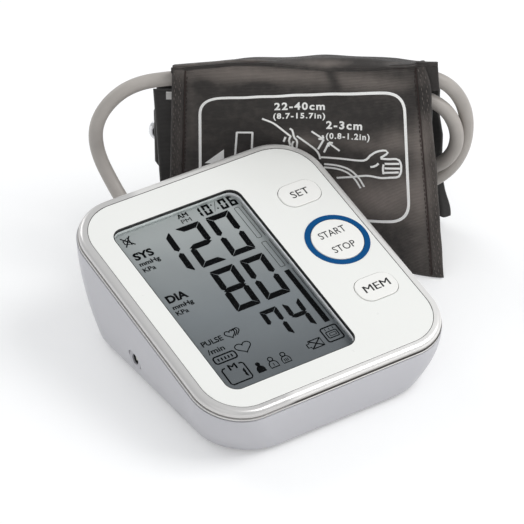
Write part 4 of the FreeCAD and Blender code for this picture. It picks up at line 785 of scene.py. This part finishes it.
def cuffBindings():
    # the sewn edges of the flap: a folded strip down each side, carrying the flap's painted sheen, a welt under
    # the crease, a dark line of painted shadow along each strip's inner edge, and their stitch rows
    trim = {"left": 6.6, "right": 86.9, "slant": 12.1, "high": 114, "proud": 0.5, "sunk": 0.3, "edge": 0.12,
            "across": 9, "up": 90, "pitch": 2.4, "seamThick": 0.3}

    def sides(at):  # outer and inner edges of the left and the right strip at a height
        left, right = flapEdges(at)
        inner = trim["right"] - trim["slant"] * at / trim["high"] + 0.4 * np.sin(at * pi / trim["high"])
        return (left, left + trim["left"]), (right, inner)

    def strip(name, inner, outer, z):  # a thin raised strip between two lines, rounded over its edges
        part = np.linspace(0, 1, trim["across"])
        x = inner[:, None] + (outer - inner)[:, None] * part
        z = np.repeat(z[:, None], trim["across"], 1)
        proud = trim["proud"] * rolled(np.minimum(part, 1 - part), trim["edge"])
        upper = flapFace(x, z, proud - 0.05 + 0.05 * np.sin(z * 1.1))
        clothSheet(name, upper, flapFace(x, z, -trim["sunk"]), np.stack([x * 1.6, z * 0.7 + x * 0.5], -1),
                   flapPaintedSheen(x, z), bindingCloth)

    def row(side, part, first, last, zigzag=0.0):
        # stitch places down one side, at a part of its strip's width
        at = np.arange(first, last, trim["pitch"])
        outer, inner = sides(at)[side]
        sway = 0.12 * np.sin(at) + zigzag * (-1.0) ** np.arange(len(at))
        return np.stack([outer + part * (inner - outer) + sway, at], -1)

    z = np.linspace(1.0, 107.6, trim["up"])
    (outer, inner), _ = sides(z)
    strip("bindingLeft", outer + 0.15, inner, z)
    z = np.linspace(1.0, 114.4, trim["up"])
    _, (outer, inner) = sides(z)
    strip("bindingRight", inner, outer - 0.15, z)

    x = np.linspace(-42, 74, 120)
    seamAndShadeLines = [(np.stack([x, creaseHigh(x) - 1.2], -1), 0.75)]
    # painted shadow of each strip's edge: a dark line along its inner side
    for side, high in ((0, 107.0), (1, 113.0)):
        at = np.linspace(1.5, high, 100)
        outer, inner = sides(at)[side]
        seamAndShadeLines.append((np.stack([inner + 0.25 * (-1) ** side, at], -1), 0.5))
    parts = [inkStroke(seam, wide, trim["seamThick"]) for seam, wide in seamAndShadeLines]
    layOn(onFlap, "creaseSeam", parts, 0.0, "cuff", seamThread, True)

    onStrip = [row(0, 0.27, 2, 106, 0.4), row(0, 0.64, 3, 106, 0.4), row(1, 0.32, 2, 113, 0.35),
               row(1, 0.7, 3, 113, 0.3)]
    onCloth = [row(0, 1.16, 2, 105), row(1, 1.18, 2, 111)]
    for name, rows, lift, thread in (("bindingStitches", onStrip, 0.4, paleThread),
                                     ("seamStitches", onCloth, 0.0, seamThread)):
        layOn(onFlap, name, map(stitchRow, rows), lift, "cuff", thread, True)
    print("cuff: bound and stitched")


def cuffPrint():
    # the printed guide, strokes laid on the flap's face: a rounded frame, the arm range in numbers, and a
    # plain arm wearing a cuff
    guide = {"thick": 0.12, "frame": 1.45, "line": 1.05, "step": 1.6, "corner": 10.5, "lift": 0.02,
             "weight": 0.03, "spaced": 1.22}
    thick, step = guide["thick"], guide["step"]
    corners = [(-35.3, 91.2), (69.2, 99.2), (74.0, 29.6), (52.0, 23.8), (-35.9, 13.0)]
    parts = [inkStroke(roundedCorners(corners, guide["corner"], step), guide["frame"], thick, True)]
    lines = [
        [(-3.3, 79.5), (2.5, 76.9), (7.5, 72.6), (11.4, 69.1)],  # upper arm down to the cuff
        [(14.6, 69.4), (20.2, 64.9), (24.4, 61.4), (26.2, 58.6), (26.9, 55.8)],  # crook of the elbow
        [(27.3, 57.0), (36.0, 57.6), (49.0, 58.9), (52.8, 62.6), (56.0, 65.4), (60.2, 66.9), (61.8, 65.9),
         (59.4, 63.4), (57.8, 62.0), (62.0, 62.3), (66.8, 63.0), (68.6, 61.0), (68.9, 58.2), (68.7, 55.6),
         # forearm and hand
         (67.4, 53.2), (63.0, 52.0), (58.3, 50.9), (51.5, 50.6), (44.0, 48.1), (35.6, 45.6)],
        [(60.4, 59.4), (67.9, 60.6)], [(60.3, 56.8), (68.3, 58.0)], [(60.0, 54.2), (67.7, 55.8)],
        [(59.8, 58.9), (59.5, 56.0), (59.9, 53.4)], [(53.0, 56.0), (55.4, 57.0), (57.2, 59.0)],
        [(29.0, 53.0), (36.0, 53.2), (42.2, 52.0), (46.8, 48.6), (50.1, 43.7)],  # its hose
        [(29.0, 51.0), (35.6, 51.2), (41.2, 50.0), (45.2, 46.9), (48.2, 42.4)],
        [(22.2, 72.6), (28.0, 68.6)], [(36.9, 62.3), (31.0, 66.4)],  # gap between cuff and elbow
        [(27.9, 70.6), (28.4, 68.5), (25.8, 68.2)], [(33.4, 66.6), (30.8, 66.5), (31.4, 64.2)],
        [(28.6, 68.2), (25.7, 61.8)], [(31.2, 66.4), (28.8, 60.2)],
        [(11.0, 74.0), (12.4, 72.6), (13.2, 68.6), (14.8, 66.2), (14.6, 62.0)],  # cuff band round the arm
        [(11.6, 69.4), (10.6, 66.6), (11.4, 63.4)], [(13.0, 66.0), (12.2, 64.0), (12.6, 62.0)],
        [(8.8, 68.6), (7.8, 65.6)],
        # empty box
        [(-17.8, 50.0), (-16.4, 70.3)], [(-16.6, 70.2), (-8.2, 70.6)], [(-8.3, 70.8), (-8.8, 56.0)]]
    parts += [inkStroke(evenly(spline(p, 40 * len(p)), step), guide["line"], thick) for p in lines]
    parts.append(inkPatch([(-33.2, 50.9), (-23.2, 59.4), (-23.2, 50.4)], thick))
    numbers = [("22-40cm", 16.0, 88.4, 26.0, 5.0, 0.045), ("(8.7-15.7in)", 15.8, 81.6, 26.8, 4.7, 0.05),
               ("2-3cm", 39.0, 78.0, 18.6, 4.9, 0.09), ("(0.8-1.2in)", 41.0, 71.2, 22.6, 4.7, 0.11)]
    for text, x, y, wide, high, climb in numbers:
        points, faces = lettering(text, x, y, wide, high, thick, guide["weight"], guide["spaced"])
        points[:, 1] += climb * (points[:, 0] - x)
        parts.append((points, faces))
    layOn(onFlap, "cuffGuide", parts, guide["lift"], "cuff",
          printInk("guideInk", tint(255, 254, 250), 0.45))
    print("cuff: guide printed")


def innerShape(x, z, across, up):  # the left edge runs in a little towards the table
    return x + (1 - across) ** 6 * (-0.9 + 3.8 * (1 - up)), z, 0.0


def outerShape(x, z, across, up):
    # the strap's doubled part stands out at the left, its lower half at the right
    strap = share(z, 33, 37) * share(z, 73, 69)
    flare = 2.4 * across ** 8 * share(z, 72, 58)
    return x - (1 - across) ** 8 * (1.6 * strap - 2.0 * (1 - up) * (1 - strap)) + flare, z, 0.0


def tailShape(x, z, across, up):  # narrow at the top, spreading and waved towards its free end
    spread = across * (1.8 - 5.0 * up ** 1.3) + 0.3 * np.sin(up * 7)
    bend = 0.75 * np.sin(across * 7.5 + 0.6) * (1 - up) ** 0.7
    return x + spread, z + 0.9 * (1 - up) * np.sin(across * 5.2 + 0.8), bend


def cornerShape(x, z, across, up):  # leans out as it hangs, its lower edge cut on the slant
    return x + 1.4 * (1 - up) * across, z + 1.6 * (1 - up) * across, 0.2 * np.sin(across * 6 + up * 2)


def softLayer(name, node, slot, box, edge, swell, ripple, seed, chartAt=0.0, finish=None, shape=None):
    # a flat stitched layer: an oblong whose faces are flat but for shallow ripples, and roll round its edges;
    # shape moves its points along x and z
    columns, rows, crowd = 90, 60, 1.35
    (x0, y0, z0), (x1, y1, z1) = box
    a, b = np.meshgrid(np.linspace(-1, 1, columns), np.linspace(-1, 1, rows), indexing="ij")
    a, b = (np.sign(t) * (1 - (1 - abs(t)) ** crowd) for t in (a, b))
    x, z = (x0 + x1) / 2 + a * (x1 - x0) / 2, (z0 + z1) / 2 + b * (z1 - z0) / 2
    roll = rolled(np.minimum(np.minimum(x - x0, x1 - x), np.minimum(z - z0, z1 - z)), edge)
    mix = np.random.default_rng(seed).uniform(0, 2 * pi, 4)
    wavy = np.sin(x * 0.08 + mix[0]) * np.sin(z * 0.1 + mix[1]) + 0.5 * np.sin(x * 0.19 + z * 0.13 + mix[2])
    half = (y1 - y0) / 2 * roll * (1 - swell)
    middle = (y0 + y1) / 2 + ripple * wavy * roll
    if shape:
        x, z, bend = shape(x, z, (a + 1) / 2, (b + 1) / 2)
        middle = middle + bend
    ring = around(np.stack([x, middle - half, z], -1), np.stack([x, middle + half, z], -1))
    chart = around(np.stack([x, z + chartAt], -1))
    layer = makePiece(name, cuffPlace(ring), gridFaces(columns, 2 * rows, False, True), "cuff",
                      finish or finishes[slot], chart=chart)
    if node:
        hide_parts(node)
    return layer


def cuffPack():
    # the layers behind the flap, front to back, and the corner of the sheet that hangs beside the flap: each
    # with its padding's fill (none for the two tapes), then what the function above asks for
    fabric, strap = "cuff_fabric", "cuff_outer_layer"
    # the three cloth layers take the darker copy of the cuff's cloth, which paints shade on them
    layers = [
        (0.1, "cuffInner", "cuff_inner_layer", fabric, ((-59.5, 12.0, 0.2), (84.5, 14.6, 88)), 1.3, 0.06, 0.1,
         3, 40, darkCloth, innerShape),
        (0.15, "cuffBladder", "cuff_bladder", "bladder_rubber", ((-53.5, 14.9, 6), (78.5, 20.9, 82)), 3.0,
         0.02, 0.1, 4),
        (0.1, "cuffOuter", strap, fabric, ((-59.5, 21.2, 0.2), (88.2, 23.8, 88)), 1.3, 0.06, 0.1, 5, 70,
         darkCloth, outerShape),
        (0.1, "cuffTail", strap, fabric, ((86.0, 21.4, 7), (94.6, 23.4, 30)), 0.95, 0.02, 0.2, 6, 10,
         darkCloth, tailShape),
        (0.1, "cuffCorner", None, fabric, ((75.0, 1.0, 97.0), (85.9, 2.4, 115.2)), 0.6, 0.02, 0.05, 9, 0,
         bindingCloth, cornerShape),
        (0, "hookTape", "hook_patch", "hook_black", ((-49.5, 23.8, 6), (74.5, 25.0, 47.9)), 0.6, 0.0, 0.0, 7),
        (0, "loopPile", "loop_patch", "loop_black", ((-40.5, 30.2, 6), (75.4, 31.5, 78)), 0.6, 0.0, 0.0, 8)]
    for fill, *given in layers:
        layer = softLayer(*given)
    print("cuff pack: layered")


# the binding strips' cloth, with painted sheen from each piece's attribute
bindingCloth = ribbedCloth("bindingCloth", tint(48, 43, 40), tint(138, 128, 121), 0.55, 0.00012, True, True)
# a darker copy of the cuff's cloth for the layers behind the flap: painted shade
darkCloth = ribbedCloth("darkCloth", tint(33, 31, 30), tint(52, 49, 47), 0.8, 0.00012)
# dark thread for the stitches, also used for the painted shadow lines along the strips' inner edges
seamThread = softRubber("seamThread", tint(46, 31, 27), 0.8, 0.00004)
paleThread = softRubber("paleThread", tint(106, 98, 93), 0.75, 0.00003)
for build in (cuffFlap, cuffTop, cuffBindings, cuffPrint, cuffPack):
    build()

# which bars of a figure are on: top, upper right, lower right, bottom, lower left, upper left, middle
barShapes = {
    "0": "abcdef", "1": "bc", "2": "abged", "4": "fgbc", "6": "afgcde", "7": "abcf", "8": "abcdefg"}


def figure(sign, x, y, wide, high, bar, gap, lean):
    # outlines of a seven-bar figure with its top left at x, y
    w, h, t, e, m = wide, high, bar, gap, high / 2
    half = {"a": [(e, h - 0.1 * t), (e + 0.1 * t, h), (w - e - 0.1 * t, h), (w - e, h - 0.1 * t),
                  (w - t - e, h - t), (t + e, h - t)],
            "f": [(0, h - e - 0.25 * t), (0.15 * t, h - e - 0.15 * t), (t, h - t - e), (t, m + t / 2 + 2 * e),
                  (t / 2, m + 2 * e), (0, m + 0.35 * t + 2 * e)],
            "g": [(1.5 * e, m), (t, m + t / 2), (w - t, m + t / 2), (w - 1.5 * e, m), (w - t, m - t / 2),
                  (t, m - t / 2)]}
    flipX = lambda pts: [(w - a, b) for a, b in pts]
    flipY = lambda pts: [(a, h - b) for a, b in pts]
    half.update(b=flipX(half["f"]), e=flipY(half["f"]), d=flipY(half["a"]), c=flipY(flipX(half["f"])))
    outlines = []
    for name in barShapes[sign]:
        p = np.array(half[name])
        outlines.append(np.stack([x + p[:, 0] - lean * (h - p[:, 1]), y - h + p[:, 1]], -1))
    return outlines


def heart(x, y, wide, high, many=26):  # x = 16 sin^3 t, y = 13 cos t - 5 cos 2t - 2 cos 3t - cos 4t, scaled
    t = np.linspace(0, 2 * pi, many, endpoint=False)
    a = 16 * np.sin(t) ** 3
    b = 13 * np.cos(t) - 5 * np.cos(2 * t) - 2 * np.cos(3 * t) - np.cos(4 * t)
    return np.stack([x + a / 32 * wide, y + (b + 2.5) / 29 * high], -1)


def displayGraphics():
    # everything the display shows, laid on its face: seven-bar figures, words, outlined signs and the level
    # bars
    face = {"high": -4.78, "ink": 0.05, "fine": 0.56, "bold": 0.8, "shift": 0.14, "thin": 0.26}
    ink, fine, bold = face["ink"], face["fine"], face["bold"]
    big = {"wide": 14.0, "high": 28.5, "bar": 3.35, "gap": 0.24, "lean": 0.037}
    small = {"wide": 9.8, "high": 19.6, "bar": 2.6, "gap": 0.2, "lean": 0.037}
    clock = {"wide": 4.1, "high": 7.0, "bar": 1.3, "gap": 0.0, "lean": 0.03}
    stored = {"wide": 2.6, "high": 5.8, "bar": 1.25, "gap": -0.12, "lean": 0.02}
    figures = [
        ("1", -38.5, 46.8, big), ("2", -20.5, 46.8, big), ("0", -2.8, 46.8, big), ("8", -20.4, 14.5, big),
        ("0", -2.7, 14.5, big), ("7", -12.1, -18.8, small), ("4", 1.1, -18.8, small),
        ("1", -6.0, 55.0, clock), ("0", -0.5, 55.0, clock), ("0", 9.2, 55.0, clock), ("6", 14.6, 55.0, clock),
        ("1", -40.6, -45.6, stored)]
    parts = [inkPatch(p, ink) for sign, x, y, cell in figures for p in figure(sign, x, y, **cell)]
    words = [
        ("AM", -12.2, 53.4, 5.8, 2.9, 0.0), ("PM", -12.0, 49.6, 5.6, 2.6, -0.004),
        ("SYS", -43.8, 39.1, 11.0, 5.0, 0.04), ("mmHg", -43.4, 33.4, 11.8, 3.6, 0.03),
        ("KPa", -46.0, 29.6, 6.9, 2.8, 0.02), ("DIA", -43.5, 7.7, 11.5, 5.0, 0.04),
        ("mmHg", -43.4, 1.7, 11.8, 3.6, 0.03), ("KPa", -46.1, -1.9, 6.8, 2.8, 0.02),
        ("PULSE", -43.1, -24.7, 11.9, 3.3, 0.02), ("/min", -44.4, -30.3, 9.4, 3.3, 0.018),
        ("M", -42.7, -42.8, 4.2, 3.6, 0.0)]
    # an M would fill up if it were thickened, so a word without weight is laid twice with a small shift
    parts += [lettering(text, x + shift, y, wide, high, ink, weight)
              for text, x, y, wide, high, weight in words
              for shift in ((0.0,) if weight else (-face["shift"], face["shift"]))]

    # outlined boxes: a small level box, the clock box with its screen, two empty pressure bars
    boxes = [((-42.8, -36.3, 12.3, 4.5, 1.4), bold), ((13.6, -46.1, 9.2, 9.2, 1.2), bold),
             ((13.6, -46.5, 6.0, 4.0, 0.6), fine), ((13.8, -46.5, 3.6, 1.7, 0.3), 0.34),
             ((15.8, 35.0, 2.7, 22.7, 0.5, 4), face["thin"]), ((15.8, 11.2, 2.7, 18.4, 0.5, 4), face["thin"])]
    parts += [inkStroke(roundedBox(*box), wide, ink, True) for box, wide in boxes]
    memory = [(-46.6, -42.2), (-48.1, -42.3), (-48.9, -43.2), (-49.0, -51.9), (-48.1, -52.9), (-37.6, -52.9),
              (-36.7, -51.9), (-36.6, -43.2), (-37.4, -42.3), (-38.9, -42.2)]
    # the full pressure bar and the marks in the level box, then the two dots in the middle of the clock
    bars = [(15.85, -19.8, 3.0, 37.8, 0.2, 3)]
    bars += [(-46.6 + 1.9 * k, -36.4, 0.8, 1.9, 0.2, 3) for k in range(5)]
    parts += [inkPatch(roundedBox(*bar), ink) for bar in bars]
    parts += [inkPatch(circle(x, y, 0.5, 12), ink) for x, y in ((5.0, 53.4), (7.2, 50.0))]
    # open strokes: the memory place, the bars' scale lines, the clock's slash, marks over the clock's screen,
    # and the crosses over the speaker and the cell
    strokes = [
        (memory, bold), ([(19.05, 46.4), (19.05, 23.6)], 0.3), ([(19.1, 20.4), (19.1, 1.9)], 0.3),
        ([(19.1, -0.9), (19.1, -38.7)], 0.3), ([(8.0, 54.8), (4.6, 48.6)], 0.25),
        *(([(x, -42.4), (x, -43.6)], 0.4) for x in (11.4, 13.6, 15.8)),
        ([(-49.2, 53.0), (-43.7, 46.7)], 0.7), ([(-43.9, 53.0), (-49.0, 46.7)], 0.7),
        ([(-0.6, -45.6), (6.2, -50.8)], 0.7), ([(6.2, -45.6), (-0.6, -50.8)], 0.7)]
    parts += [inkStroke(line, wide, ink) for line, wide in strokes]

    # two hearts, the smaller with two more arcs behind its shoulder; a speaker and a cell
    speaker = [(-48.6, 48.6), (-47.5, 48.6), (-45.4, 47.1), (-45.4, 52.5), (-47.5, 51.0), (-48.6, 51.0)]
    cell = [(-0.7, -45.6), (6.2, -45.6), (6.2, -50.8), (-0.7, -50.8), (-0.7, -49.4), (-2.3, -49.4),
            (-2.3, -47.0), (-0.7, -47.0)]
    outlines = [(heart(-31.0, -35.0, 8.7, 6.6), fine), (heart(-32.4, -24.8, 5.6, 4.9), fine), (speaker, 0.65),
                (cell, 0.65)]
    parts += [inkStroke(outline, wide, ink, True) for outline, wide in outlines]
    parts += [inkStroke(heart(-32.4 + 1.35 * k, -24.8 + 0.1 * k, 5.6, 4.9)[1:12], fine, ink) for k in (1, 2)]
    # three users, the first one chosen: a head over sloping shoulders
    for x, marks in ((-30.8, ()), (-23.5, (1,)), (-16.3, (0, 1, 2))):
        head = circle(x, -46.9, 1.25, 16)
        chest = np.array([(-2.3, -52.2), (2.3, -52.2), (2.3, -50.0), (1.8, -48.9), (0.9, -48.2),
                          (-0.9, -48.2), (-1.8, -48.9), (-2.3, -50.0)]) + [x, 0]
        if marks:
            parts += [inkStroke(outline, fine, ink, True) for outline in (head, chest)]
            parts += [inkStroke([(x - 0.9 + 0.9 * j, -49.6), (x - 0.9 + 0.9 * j, -51.4)], 0.4, ink)
                      for j in marks]
        else:
            neck = roundedBox(x, -48.2, 1.6, 1.4, 0.2, 3)
            parts += [inkPatch(outline, ink) for outline in (head, chest, neck)]
    layOn(panelPlace, "displayFigures", parts, face["high"], "unit", displayInk("displayInk"))
    print("display: figures and signs")


def keyLettering():
    # the keys' words, as flat ink on their tops; each is laid once or twice, with a shift and a weight each
    # time
    top, thick = 0.51, 0.04
    once, twice = [(0.0, 0.004)], [(-0.1, -0.003), (0.1, -0.003)]
    ink = printInk("keyInk", tint(30, 30, 32))
    signs = [("startWords", "start_stop_key", [("START", 47.7, 7.0, 15.6, 4.4),
                                               ("STOP", 47.9, -3.8, 13.2, 4.3)]),
             ("setWord", "set_key", [("SET", 47.9, 37.4, 10.4, 4.5)]),
             ("memoryWord", "memory_key", [("MEM", 48.1, -33.0, 14.9, 4.5)])]
    for name, body, words in signs:
        parts = [lettering(text, x + shift, y, wide, high, thick, weight) for text, x, y, wide, high in words
                 for shift, weight in (twice if "M" in text else once)]
        layOn(panelPlace, name, parts, top, body, ink)
    print("keys: lettered")


def hoop(name, top, low, material, outside, inside):  # a thin wall between two outlines, carried down
    rings = [np.column_stack([p, np.full(len(p), z)]) for p, z in
             ((outside, low), (outside, top), (inside, top - 0.08), (inside, low))]
    makePiece(name, panelPlace(np.stack(rings, 1)), gridFaces(len(outside), 4, True, True), "unit",
              material)


def windowLiner():
    # rounded oblongs carried down: the window's inner wall from the panel to the display, a dark line of
    # painted shade just under the panel's edge, and a dark hoop of painted shade in the joint between the panel
    # and the rim
    k = {"x": -17.2, "y": -2.1, "wide": 75.0, "long": 115.4, "corner": 6.5, "play": 0.04, "skin": 0.35,
         "line": 0.15, "low": -4.75, "lineLow": -1.8, "lineTop": -0.12}
    seat = {"wide": 132.96, "long": 143.76, "corner": 21.18, "across": 0.34, "top": -0.04, "low": -0.5}

    def inset(of, by, steps):  # the outline this far inside an oblong
        return roundedBox(of.get("x", 0), of.get("y", 0), of["wide"] - 2 * by, of["long"] - 2 * by,
                          of["corner"] - by, steps)

    outer = roundedBox(k["x"], k["y"], k["wide"] - k["play"], k["long"] - k["play"], k["corner"], 10)
    hoop("windowWall", k["lineLow"] - 0.02, k["low"], wallWithPaintedLight("windowWall"), outer,
         inset(k, k["skin"], 10))
    # painted shade: a near-black band at the top of the window's wall
    hoop("windowLine", k["lineTop"], k["lineLow"],
         mouldedPlastic("windowLine", tint(22, 22, 22), 0.4, 0.4, 0.00001, 0.04), outer,
         inset(k, k["skin"] + k["line"], 10))
    # painted shade: a dark hoop in the joint between the panel and the rim
    hoop("panelJoint", seat["top"], seat["low"],
         mouldedPlastic("panelJoint", tint(84, 82, 79), 0.6, 0.4, 0.00001, 0.04),
         inset(seat, 0, 16), inset(seat, seat["across"], 16))
    print("window: lined")


displayGraphics()
keyLettering()
windowLiner()
